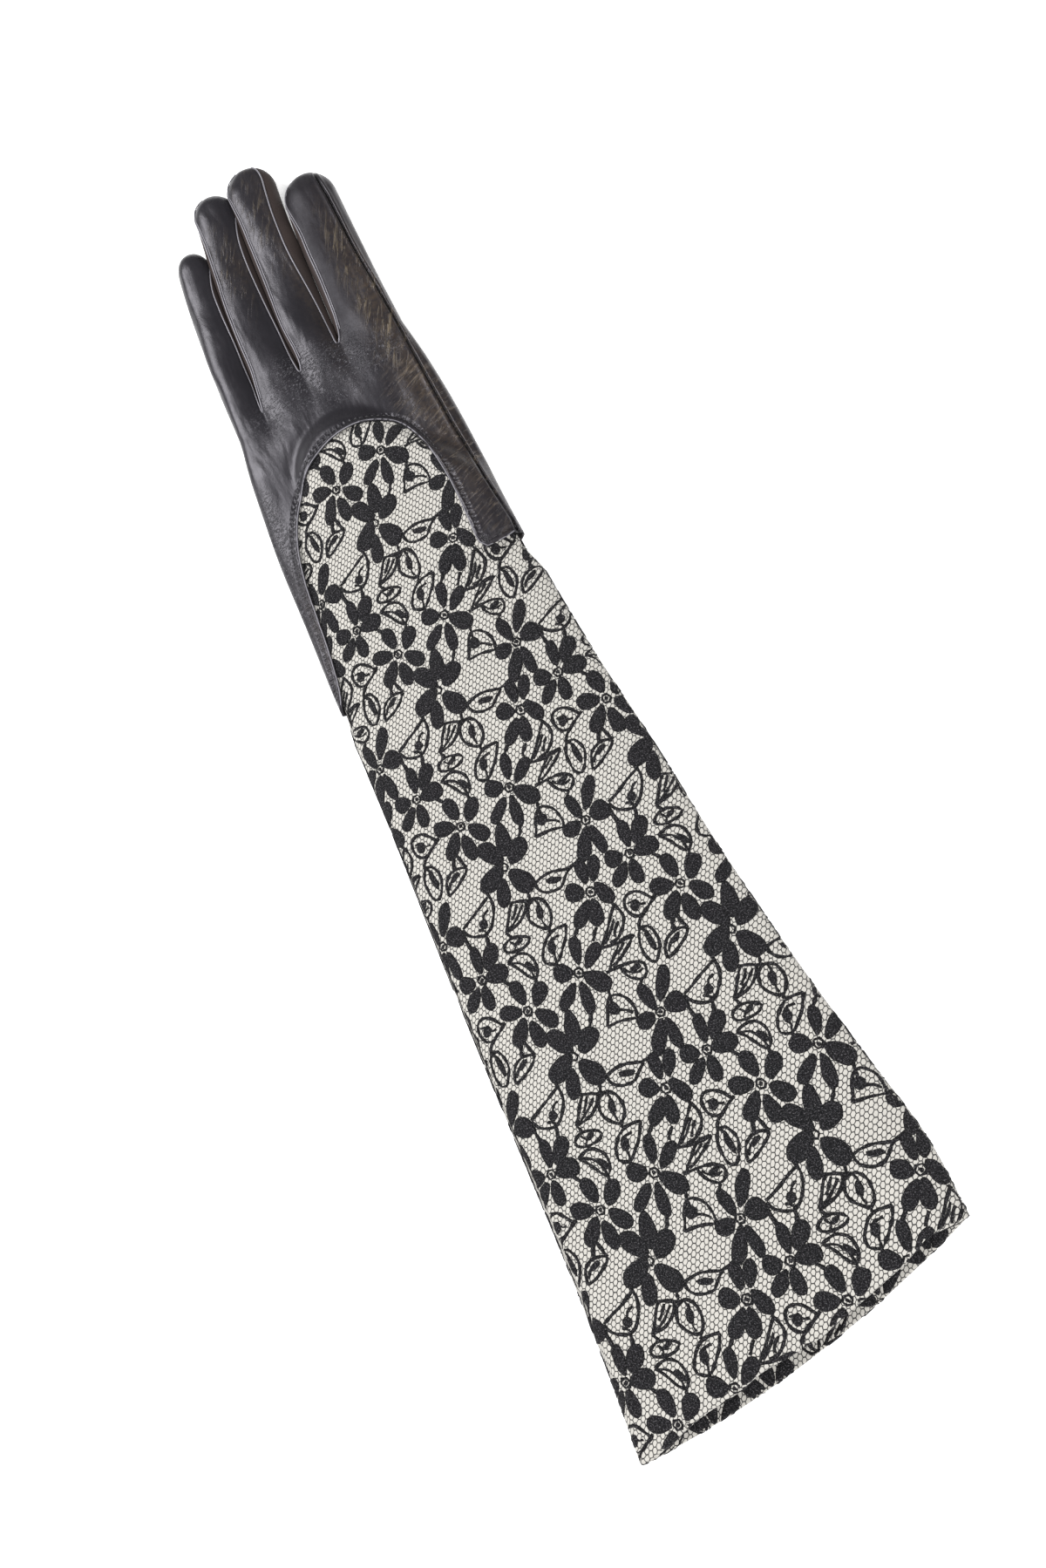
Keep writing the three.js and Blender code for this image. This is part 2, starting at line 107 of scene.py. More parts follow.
def ramp(tree, value, low, high, to_low=0.0, to_high=1.0, kind="SMOOTHSTEP"):
    """A value carried from one range to another and held at its ends."""
    return add_node(tree, "MapRange", {"Value": value, "From Min": low, "From Max": high, "To Min": to_low,
                                       "To Max": to_high}, interpolation_type=kind).outputs[0]


def mixed(tree, amount, under, over):
    """One colour over another by an amount."""
    return add_node(tree, "Mix", {0: amount, 6: under, 7: over}, data_type="RGBA").outputs[2]


def new_material(name, values):
    """A material with its principled shader, and the values that are the same all over."""
    material = bpy.data.materials.new(name)
    material.use_nodes = True
    shader = material.node_tree.nodes["Principled BSDF"]
    for key, value in values.items():
        shader.inputs[key].default_value = value
    return material, material.node_tree, shader


for light in LIGHTS:
    lamp = bpy.data.objects.new(light["name"], bpy.data.lights.new(light["name"], "AREA"))
    lamp.data.size, lamp.data.energy = light["size"], light["power"]
    lamp.location = light["at"]
    lamp.rotation_euler = (Vector(light["to"]) - Vector(light["at"])).to_track_quat("-Z", "Y").to_euler()
    bpy.context.scene.collection.objects.link(lamp)
world = bpy.data.worlds.new("studio")
world.use_nodes = True
world.node_tree.nodes["Background"].inputs["Color"].default_value = (1, 1, 1, 1)
world.node_tree.nodes["Background"].inputs["Strength"].default_value = WORLD_STRENGTH
bpy.context.scene.world = world
bpy.context.scene.view_settings.view_transform = "Standard"

floor_mesh = bpy.data.meshes.new("floor")
half = FLOOR_SIZE / 2
floor_mesh.from_pydata([(-half, -half, 0), (half, -half, 0), (half, half, 0), (-half, half, 0)],
                       [], [(0, 1, 2, 3)])
floor = bpy.data.objects.new("floor", floor_mesh)
floor_look, _, _ = new_material("floor_white", {
    "Base Color": FLOOR_WHITE, "Roughness": 0.9, "Emission Color": (1, 1, 1, 1),
    "Emission Strength": FLOOR_GLOW,
})
floor_mesh.materials.append(floor_look)
bpy.context.scene.collection.objects.link(floor)
floor.location.z = -FLOOR_DROP

# ---- Sleeve ----------------------------------------------------------------------------------------
# A flared tube of ivory cloth, cut flat and joined by one seam at the index side, with its mouth turned in
# and its upper end tucked under the leather. It lies flat, pressed into two folds, with a wavy mouth.

LINE_NAMES = ("s", "left_x", "left_y", "right_x", "right_y", "height")
LINES = dict(zip(LINE_NAMES, np.array([
    (0, -69.1, -14.5, 69.1, 14.5, 10.5),
    (35, -65.9, 25, 68.0, 45, 10.5),
    (75, -63.9, 69, 61.2, 81, 10.5),
    (120, -62.6, 117.5, 54.0, 122.5, 10.5),
    (170, -60.7, 170, 47.6, 170, 10.8),
    (215, -58.4, 215, 43.0, 215, 11.2),
    (250, -57.2, 250, 38.6, 250, 11.8),
    (280, -57.0, 280, 35.8, 280, 12.4),
    (310, -55.9, 310, 33.9, 310, 12.8),
    (340, -54.9, 340, 33.0, 340, 12.8),
    (370, -52.3, 370, 31.6, 370, 12.8),
    (392, -50.2, 386, 28.8, 398, 12.6),
    (407, -49.2, 396, 26.6, 413, 12),
], float).T))
HUMP_NAMES = ("across", "spread", "rise", "draw_back")
MOUTH_HUMPS = [dict(zip(HUMP_NAMES, row)) for row in (
    (-0.62, 0.16, 2.0, 1.4), (-0.25, 0.14, 2.6, 1.4), (0.1, 0.1, -1.6, -1.0),
    (0.34, 0.12, -1.2, -0.4), (0.8, 0.13, 3.6, 3.6),
)]
MOUTH_BOW, MOUTH_BOW_REACH = 5.8, 140.0
MOUTH_SETBACK, MOUTH_SETBACK_REACH = 4.6, 60.0
SIDE_WALL_FACTOR = 1.6
SLEEVE_ROUNDNESS, HAND_ROUNDNESS, HAND_FROM, HAND_REACH = 2.6, 4.5, 290, 90
MIDDLE_SHARE, UNDERSIDE_FLATTENING = 0.94, 1.12
LEATHER_DEPTH = 1.5
THUMB = {"root": (18, 316), "tip": (-19, 367), "root_width": 24, "tip_width": 20, "height": 4,
         "swell": 2.3, "rounding": 11}
THUMB_LIFT, LIFT_MARGIN, LIFT_FALL = 4.3, 5.0, 9.0
ARCH = np.array([
    (-57, 274), (-53.4, 282), (-51, 297), (-49.6, 311), (-47.6, 328), (-42.6, 346), (-32.4, 361),
    (-18, 370), (-3, 371.4), (9, 366.6), (15.6, 354), (18.2, 337), (18.4, 320), (18, 309),
], float)
CLOTH_WALL, HEM_WALL, HEM_WIDTH = 0.8, 1.6, 15.0
SLEEVE_COLUMNS = 184
# Where the lace repeat lies on the glove: plan place to repeat place, a plane seen slightly stretched.
REPEAT_UNIT = 100
REPEAT_MAP = np.array([
    (0.97136, -0.073069, 24.841603), (0.105403, 0.943018, -135.423922), (0.000427, -0.000221, 1.0),
])


def lerp(a, b, t):
    """From a to b by the share t."""
    return a + (b - a) * t


def ease(t):
    """A smooth step from 0 to 1."""
    t = np.clip(t, 0, 1)
    return t * t * (3 - 2 * t)


def bell(t):
    """1 at 0, falling off as a bell curve to both sides."""
    return np.exp(-np.square(t))


def sharpen(value, power):
    """A power that keeps the sign."""
    return np.sign(value) * np.abs(value) ** power


def line(name, s):
    """A smooth curve through one column of LINES, as in the CAD source."""
    x, y = LINES["s"], LINES[name]
    before = np.maximum(np.arange(len(x)) - 1, 0)
    after = np.minimum(np.arange(len(x)) + 1, len(x) - 1)
    slope = (y[after] - y[before]) / (x[after] - x[before])
    s = np.asarray(s, float)
    i = np.clip(np.searchsorted(x, s, side="left") - 1, 0, len(x) - 2)
    span = x[i + 1] - x[i]
    t = np.clip((s - x[i]) / span, 0, 1)
    rise = y[i + 1] - y[i]
    bend_in = slope[i] * span - rise
    bend_out = rise - slope[i + 1] * span
    return y[i] + rise * t + t * (1 - t) * ((1 - t) * bend_in + t * bend_out)


def thumb_lift(x, y):
    """How far the hand is lifted over the folded thumb: full over it, easing out to nothing round it."""
    root, tip = np.array(THUMB["root"], float), np.array(THUMB["tip"], float)
    way = tip - root
    end = THUMB["tip_width"] / 2 / np.hypot(*way)
    share = np.clip(((x - root[0]) * way[0] + (y - root[1]) * way[1]) / (way @ way), end, 1 - end)
    away = np.hypot(x - root[0] - share * way[0], y - root[1] - share * way[1])
    reach = lerp(THUMB["root_width"], THUMB["tip_width"], share) / 2 + LIFT_MARGIN
    return THUMB_LIFT * ease((reach + LIFT_FALL - away) / LIFT_FALL)


def tube_point(s, angle, inset):
    """A point of the flattened tube at line s and an angle round it: 0 right fold, pi left fold, top between.
    Across is the cosine, and the height is a superellipse of it, flat underneath and humped at the mouth."""
    s, angle, inset = np.broadcast_arrays(*(np.asarray(v, float) for v in (s, angle, inset)))
    across = np.cos(angle)
    layer = np.where(np.sin(angle) >= 0, 1.0, -1.0)
    roundness = lerp(SLEEVE_ROUNDNESS, HAND_ROUNDNESS, ease((s - HAND_FROM) / HAND_REACH))
    up = layer * np.maximum(1 - np.abs(across) ** roundness, 0) ** (1 / roundness)
    left_x, left_y, right_x, right_y = (line(k, s) for k in ("left_x", "left_y", "right_x", "right_y"))
    half_width = (right_x - left_x) / 2 - inset * SIDE_WALL_FACTOR
    near_mouth = np.clip(1 - s / MOUTH_SETBACK_REACH, 0, 1)
    bow = MOUTH_BOW * np.clip(1 - s / MOUTH_BOW_REACH, 0, 1) ** 2
    x = (left_x + right_x) / 2 + half_width * across
    y = (left_y + right_y) / 2 + (right_y - left_y) / 2 * across - bow * (1 - across ** 2)
    y = y + np.minimum(s, 0)
    half_height = line("height", s) / 2
    middle = half_height * MIDDLE_SHARE
    top = np.maximum(up, 0)
    y = y + MOUTH_SETBACK * top * near_mouth ** 2 * (1 - across ** 4)
    for hump in MOUTH_HUMPS:
        share = bell((across - hump["across"]) / hump["spread"]) * near_mouth
        half_height = half_height + np.where(up > 0, hump["rise"] / 2 * share, 0)
        y = y + hump["draw_back"] * share * near_mouth * top
    z = middle + (half_height - inset) * up * np.where(up > 0, 1, UNDERSIDE_FLATTENING)
    z = np.maximum(z, np.minimum(inset, middle)) + thumb_lift(x, y)
    return np.stack([x, y, z], axis=-1)


def spline(points, count):
    """A Catmull-Rom curve through points, resampled at an even pitch."""
    points = np.asarray(points, float)
    padded = np.concatenate([[2 * points[0] - points[1]], points, [2 * points[-1] - points[-2]]])
    t = np.linspace(0, len(points) - 1, 40 * (len(points) - 1) + 1)
    i = np.minimum(t.astype(int), len(points) - 2)
    f = (t - i)[:, None]
    a, b, c, d = (padded[i + k] for k in range(4))
    curve = 0.5 * (2 * b + (c - a) * f + (2 * a - 5 * b + 4 * c - d) * f ** 2
                   + (3 * b - a - 3 * c + d) * f ** 3)
    return even(curve, count)


def lengths(curve):
    """Distance run along a curve at each of its points; works on the second axis from the end."""
    step = np.linalg.norm(np.diff(curve, axis=-2), axis=-1)
    return np.concatenate([np.zeros(step.shape[:-1] + (1,)), np.cumsum(step, axis=-1)], axis=-1)


def even(curve, count):
    """The curve resampled at count points an even distance apart."""
    run = lengths(curve)
    want = np.linspace(0, run[-1], count)
    return np.stack([np.interp(want, run, curve[:, k]) for k in range(curve.shape[1])], axis=1)


# The cloth laps this far under the leather, at least up to LAP_LINE on top, and between two lines below.
LAP, LAP_LINE, LAP_LEFT, LAP_RIGHT = 5.0, 306, 279, 307
WRIST_LINE, ARCH_TOP_X, FOLD_BLEND = 330, -20, 0.35
# The step down under the leather's edge: its line at the left and the right fold, and its length.
STEP_LEFT, STEP_RIGHT, STEP_LENGTH = 260, 288, 13


def sleeve_end(angle):
    """How far up the sleeve's cloth runs at an angle: under the palm's hem, and under the arch on top."""
    arch = spline(ARCH, 200)
    x = lerp(line("left_x", WRIST_LINE), line("right_x", WRIST_LINE), (np.cos(angle) + 1) / 2)
    toward_middle = np.where(x < ARCH_TOP_X, x + LAP, x - LAP)
    reach = np.interp(toward_middle, arch[:, 0], arch[:, 1], left=ARCH[0, 1], right=ARCH[-1, 1]) + LAP
    under = lerp(LAP_LEFT, LAP_RIGHT, (np.cos(angle) + 1) / 2)
    over = lerp(under, np.maximum(reach, LAP_LINE), ease(np.sin(angle) / FOLD_BLEND))
    return np.where(np.sin(angle) > 0, over, under)


def cloth_depth(s, angle):
    """The cloth lies one leather wall and a gap further in where the leather laps over it."""
    return LEATHER_DEPTH * ease((s - lerp(STEP_LEFT, STEP_RIGHT, (np.cos(angle) + 1) / 2)) / STEP_LENGTH)


STATIONS = np.arange(-1, 392, 6.0)


def ring_angles(seam_angle, columns):
    """Angles of evenly spaced columns round the tube for a range of lines, as a function of the line."""
    dense = seam_angle + np.linspace(0, 2 * np.pi, 1441)
    ring = tube_point(STATIONS[:, None], dense[None, :], 0.0)
    run = lengths(ring)
    table = np.stack([np.interp(np.linspace(0, r[-1], columns + 1), r, dense) for r in run])

    def angles(s):
        s = np.broadcast_to(s, (s.shape[0], columns + 1))
        return np.stack([np.interp(s[:, j], STATIONS, table[:, j]) for j in range(columns + 1)], axis=1)
    return angles


SEAM_ANGLE, MIDDLE_LINE = 0.12, 150.0
angles_at = ring_angles(SEAM_ANGLE, SLEEVE_COLUMNS)
column_angle = angles_at(np.full((1, 1), MIDDLE_LINE))[0]
end_line = sleeve_end(column_angle)
# The rows lie level up to this line, and above it they share out what is left of each column.
SPLIT_LINE, SPLIT_MARGIN = 299.0, 5.0
split = np.minimum(SPLIT_LINE, end_line - SPLIT_MARGIN)
UPPER_ROWS, LOWER_ROWS, INNER_UPPER_ROWS, INNER_LOWER_ROWS = 42, 148, 20, 74

# Each column runs down the outside from the upper end to the mouth, round the lip, up the turned-in hem and
# on up the inside: how far up the cloth (line) and how deep (inset) its points are.
LIP_START, HEM_START, HEM_ROWS, HEM_STEP = 1.0, 1.6, 10, 0.8
above = split + (end_line - split) * np.linspace(1, 0, UPPER_ROWS)[:, None]
below = LIP_START + (split - LIP_START) * np.linspace(1, 0, LOWER_ROWS)[1:, None]
outside_s = np.concatenate([above, below])
outer_rows = len(outside_s)
lip = np.array([(0.35, 0.12), (0.05, 0.45), (-0.05, 0.85), (0.1, 1.3), (0.6, 1.6)])
lip_s, lip_inset = (np.repeat(lip[:, k:k + 1], SLEEVE_COLUMNS + 1, axis=1) for k in (0, 1))
hem_s = np.repeat(np.linspace(HEM_START, HEM_WIDTH, HEM_ROWS)[:, None], SLEEVE_COLUMNS + 1, axis=1)
hem_top = HEM_WIDTH + HEM_STEP
inside_s = np.concatenate([
    hem_top + (split - hem_top) * np.linspace(0, 1, INNER_LOWER_ROWS)[:, None],
    split + (end_line - split) * np.linspace(0, 1, INNER_UPPER_ROWS)[1:, None],
])
inner_rows = len(inside_s)
rows_s = np.concatenate([outside_s, lip_s, hem_s, inside_s])
rows_angle = angles_at(rows_s)
rows_inset = cloth_depth(rows_s, rows_angle) + np.concatenate([
    np.zeros_like(outside_s), lip_inset, np.full_like(hem_s, HEM_WALL), np.full_like(inside_s, CLOTH_WALL),
])
lace_rows = outer_rows + len(lip) + len(hem_s)


WAVE_HEIGHT = 0.16


def cloth_wave(point):
    """Slight waves of the cloth where it lies loose: a sum of a few long sines of the plan place."""
    x, y = point[..., 0], point[..., 1]
    wave = (np.sin(x / 9.1 + y / 31.0 + 0.6) + np.sin(x / 14.3 - y / 23.0 + 2.1)
            + 0.8 * np.sin(x / 6.2 + y / 17.0 + 4.0) * np.sin(y / 29.0 + 1.0))
    loose = ease((300 - y) / 60) * ease((point[..., 2] - 3) / 4)
    return WAVE_HEIGHT * wave * loose


sleeve_points = tube_point(rows_s, rows_angle, rows_inset)
sleeve_points[..., 2] += cloth_wave(sleeve_points)


BEFORE_FOLD = 0.45


def unrolled(points, angle):
    """The cloth laid out flat, for the lace repeat: its plan place on top, and from just before the left
    fold the distance run round it, in the direction of the line across."""
    left_start = np.argmax(angle[0] > np.pi - BEFORE_FOLD)
    run = lengths(points)
    across = points[:, 0, :2] - points[:, left_start, :2]
    across /= np.linalg.norm(across, axis=1)[:, None]
    flat = points[..., :2].copy()
    beyond = (run[:, left_start:] - run[:, left_start:left_start + 1])[..., None]
    flat[:, left_start:] = flat[:, left_start:left_start + 1] - across[:, None] * beyond
    return flat


# Left of this line the repeat runs on evenly, this much of it to the millimetre. Round the lip and into the
# hem it runs on downwards, and a little aside.
MAP_LEFT, ROUND_THE_FOLD, LIP_ASIDE = -66.0, np.array([0.96, 0.12]), 0.1


def repeat_place(flat):
    """The place in the lace repeat of a place on the laid-out cloth."""
    x = np.maximum(flat[..., 0], MAP_LEFT)
    shifted = np.stack([x, flat[..., 1], np.ones_like(x)], axis=-1) @ REPEAT_MAP.T
    return shifted[..., :2] / shifted[..., 2:] + (flat[..., :1] - x[..., None]) * ROUND_THE_FOLD


flat_rows = unrolled(sleeve_points[:lace_rows], rows_angle[:lace_rows])
for row in range(outer_rows, lace_rows):
    down = np.linalg.norm(sleeve_points[row] - sleeve_points[row - 1], axis=1)
    flat_rows[row] = flat_rows[row - 1] - np.stack([LIP_ASIDE * down, down], axis=1)
place_rows = repeat_place(flat_rows)
inside_places = np.repeat(place_rows[-1:], inner_rows, axis=0)
inside_places[..., 1] -= rows_s[lace_rows:] - HEM_WIDTH
all_places = np.concatenate([place_rows, inside_places])


def grid_faces(rows, columns, wrap_columns=False):
    """Quads of a grid of points stored row by row, seen from its upper side when rows run up."""
    width = columns if wrap_columns else columns - 1
    r, c = np.meshgrid(np.arange(rows - 1), np.arange(width), indexing="ij")
    after = (c + 1) % columns
    return np.stack([r * columns + c, r * columns + after, (r + 1) * columns + after,
                     (r + 1) * columns + c], axis=-1).reshape(-1, 4)


def mesh_object(name, points, quads, material, tris=None, corner_maps=(), point_values=()):
    """A mesh in the shared frame from points in millimetres, with named maps on its corners and named
    values on its points."""
    tris = np.zeros((0, 3), int) if tris is None else np.asarray(tris)
    quads = np.asarray(quads).reshape(-1, 4)
    loops = np.concatenate([quads.ravel(), tris.ravel()])
    starts = np.concatenate([np.arange(len(quads)) * 4, len(quads) * 4 + np.arange(len(tris)) * 3])
    mesh = bpy.data.meshes.new(name)
    mesh.vertices.add(len(points))
    mesh.vertices.foreach_set("co", ((points.reshape(-1, 3) - ORIGIN) * MM).ravel())
    mesh.loops.add(len(loops))
    mesh.loops.foreach_set("vertex_index", loops)
    mesh.polygons.add(len(starts))
    mesh.polygons.foreach_set("loop_start", starts)
    mesh.polygons.foreach_set("use_smooth", np.ones(len(starts), bool))
    mesh.update(calc_edges=True)
    for map_name, values in dict(corner_maps).items():
        layer = mesh.uv_layers.new(name=map_name)
        values = values[loops] if len(values) == len(points.reshape(-1, 3)) else values
        layer.uv.foreach_set("vector", np.ascontiguousarray(values, dtype=np.float32).ravel())
    for value_name, values in dict(point_values).items():
        layer = mesh.attributes.new(value_name, "FLOAT", "POINT")
        layer.data.foreach_set("value", np.ascontiguousarray(values, dtype=np.float32).ravel())
    mesh.validate()
    mesh.materials.append(material)
    made = bpy.data.objects.new(name, mesh)
    bpy.context.scene.collection.objects.link(made)
    return made


def repeat_millimetres(tree):
    """The place in the lace repeat, in millimetres."""
    pattern = add_node(tree, "UVMap", uv_map="repeat").outputs[0]
    return vector_calc(tree, "MULTIPLY", pattern, (REPEAT_UNIT, REPEAT_UNIT, 0))


def net_cell(tree, place):
    """How far a place lies from the middle of its cell, in a net of staggered six-sided cells: 0 in the
    middle and 0.5 on the thread."""
    period, half_period = (1.0, 3 ** 0.5, 1.0), (0.5, 3 ** 0.5 / 2, 0.5)
    near = []
    for shift in ((0, 0, 0), half_period):
        moved = vector_calc(tree, "SUBTRACT", place, shift)
        wrapped = vector_calc(tree, "WRAP", moved, period, (0, 0, 0))
        centred = vector_calc(tree, "SUBTRACT", wrapped, half_period)
        near.append(vector_calc(tree, "MULTIPLY", centred, (1, 1, 0)))
    first_nearer = calc(tree, "LESS_THAN", *(vector_calc(tree, "LENGTH", v) for v in near))
    nearer = add_node(tree, "Mix", {0: first_nearer, 4: near[1], 5: near[0]}, data_type="VECTOR").outputs[1]
    folded = vector_calc(tree, "ABSOLUTE", nearer)
    slanted = vector_calc(tree, "DOT_PRODUCT", folded, (0.5, 3 ** 0.5 / 2, 0))
    return calc(tree, "MAXIMUM", slanted, add_node(tree, "SeparateXYZ", {0: folded}).outputs[0])


# Cells per millimetre across and along the slanted rows of the net, and how unevenly they run.
NET_ROWS = ((0.4740, -0.4398, 0), (0.3364, 0.2557, 0))
NET_WOBBLE = 0.7
IVORY, IVORY_SHADE = (0.500, 0.482, 0.444, 1), (0.390, 0.376, 0.348, 1)
NET_THREAD = (0.035, 0.034, 0.034, 1)

cloth_look, tree, shader = new_material("lace_cloth", {
    "Roughness": 0.85, "Sheen Weight": 0.25, "Sheen Roughness": 0.5, "Specular IOR Level": 0.2,
})
millimetres = repeat_millimetres(tree)
wobble = add_node(tree, "TexNoise", {"Vector": millimetres, "Scale": 0.45, "Detail": 1.0}).outputs["Color"]
shift = vector_calc(tree, "SUBTRACT", wobble, (0.5, 0.5, 0.5))
swing = vector_calc(tree, "MULTIPLY_ADD", shift, (NET_WOBBLE, NET_WOBBLE, 0), millimetres)
slants = [vector_calc(tree, "DOT_PRODUCT", swing, row) for row in NET_ROWS]
slanted_place = add_node(tree, "CombineXYZ", dict(enumerate(slants))).outputs[0]
thread = ramp(tree, net_cell(tree, slanted_place), 0.375, 0.445)
ivory = mixed(tree, noise(tree, millimetres, 0.9, 4.0, Roughness=0.7), IVORY_SHADE, IVORY)
tree.links.new(mixed(tree, thread, ivory, NET_THREAD), shader.inputs["Base Color"])
relief = calc(tree, "MULTIPLY_ADD", thread, 0.6, noise(tree, millimetres, 3.2, 2.0))
bump = add_node(tree, "Bump", {"Strength": 0.35, "Distance": 0.0002, "Height": relief})
tree.links.new(bump.outputs[0], shader.inputs["Normal"])

# The last row is joined to the first, so the cloth's wall closes at the upper end.
total_rows = len(rows_s)
sleeve_faces = grid_faces(total_rows + 1, SLEEVE_COLUMNS, wrap_columns=True) % (total_rows * SLEEVE_COLUMNS)
places = np.concatenate([all_places, all_places[:1]])
r, c = np.meshgrid(np.arange(total_rows), np.arange(SLEEVE_COLUMNS), indexing="ij")
corner_places = np.stack([places[r, c], places[r, c + 1], places[r + 1, c + 1], places[r + 1, c]], axis=2)
sleeve = mesh_object("sleeve_cloth", sleeve_points[:, :SLEEVE_COLUMNS].reshape(-1, 3), sleeve_faces,
                     cloth_look, corner_maps={"repeat": corner_places.reshape(-1, 2) / REPEAT_UNIT})
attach(sleeve, "root")
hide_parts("sleeve")

# ---- Lace ------------------------------------------------------------------------------------------
# The black floral lace on the cloth: close-worked petals and corded outlines of leaves, charted once for
# one repeat and laid over the whole sheet, turned in with the hem. Machine lace, worked through the net.

REPEAT_DOWN = np.array([0.0, -72.598])
REPEAT_ASIDE = np.array([67.674, 23.978])
# Petals: foot and tip in the repeat, and width.
PETALS = [
    (-0.8, 4.2, 0.8, 14.3, 4.6), (1.2, 2.0, 8.7, 9.4, 5.0), (-3.7, 2.0, -10.8, 4.4, 7.0),
    (-0.2, 0.6, 7.4, -7.2, 7.2), (-4.4, -1.4, -12.4, -9.2, 4.8), (-2.1, -1.7, -2.6, -13.8, 4.8),
    (-26.4, -4.6, -35.0, -3.0, 6.4), (-24.6, -2.6, -26.4, 6.7, 5.8), (-21.0, -4.6, -15.6, 3.2, 6.0),
    (-21.6, -6.0, -15.4, -13.0, 6.4), (-24.6, -8.8, -23.4, -19.0, 5.8), (-26.4, -7.0, -33.0, -15.8, 5.6),
    (-10.2, -9.4, -11.8, -22.2, 6.2), (-13.9, -24.0, -20.4, -14.6, 7.2), (-11.4, -25.2, -3.4, -18.2, 7.0),
    (-14.8, -24.4, -24.9, -31.8, 7.2), (-16.2, -29.2, -19.4, -39.8, 5.6), (-12.8, -27.6, -6.9, -37.2, 8.0),
    (10.4, 27.0, 3.9, 30.4, 7.0), (15.2, 29.6, 19.2, 20.8, 5.7), (12.2, 30.2, 12.2, 39.6, 4.8),
    (14.9, 30.2, 18.6, 39.2, 4.8), (10.7, 24.6, 3.3, 16.3, 5.2), (12.4, 24.6, 10.9, 14.6, 5.6),
    (-39.6, 11.0, -46.4, 11.6, 6.8), (-39.2, 8.8, -46.0, 1.4, 4.8), (-37.0, 9.0, -37.2, -0.4, 5.2),
    (-35.4, 10.6, -26.0, 11.8, 7.2), (-34.0, 13.6, -27.8, 22.2, 6.0), (-36.4, 13.2, -35.9, 23.6, 4.6),
    (19.2, -19.6, 16.8, -9.6, 4.8), (21.6, -17.2, 27.8, -5.8, 5.0), (22.4, -20.0, 30.2, -18.6, 8.0),
    (18.2, -20.4, 11.4, -23.2, 6.2), (20.0, -22.8, 13.9, -34.6, 5.4), (21.4, -23.0, 22.8, -34.4, 4.6),
]
# Rings at the hearts of the flowers, and eyes of the leaves: middle, width, length and lean in degrees.
RINGS = [(-1.8, 1.5, 3.6), (-24.4, -5.2, 3.4), (12.7, 27.0, 3.8), (-37.0, 11.0, 3.4), (20.4, -20.6, 3.4),
         (-14.2, -25.8, 3.2)]
EYES = [
    (-7.5, 26.7, 2.6, 5.2, 10), (26.2, 3.4, 2.0, 7.6, -10), (25.8, 17.0, 3.2, 4.2, 30),
    (38.7, -18.7, 3.2, 3.6, 30), (1.7, 35.8, 2.2, 5.6, 95), (-7.8, 13.3, 3.0, 4.8, 15),
    (5.4, -14.4, 4.2, 4.4, 20), (17.8, -3.6, 2.0, 4.4, 70), (18.0, 7.2, 1.5, 6.0, 78),
    (-18.6, 19.4, 1.7, 3.6, 60), (34.6, 1.6, 1.8, 4.8, 55), (-17.7, 9.4, 2.2, 5.2, -35),
    (1.3, -1.0, 1.2, 1.4, 0), (-1.8, 1.4, 1.2, 1.3, 0), (12.7, 27.0, 1.3, 1.5, 0), (-37.0, 11.0, 1.2, 1.3, 0),
    (-24.4, -5.2, 1.2, 1.3, 0), (20.4, -20.6, 1.2, 1.3, 0),
]
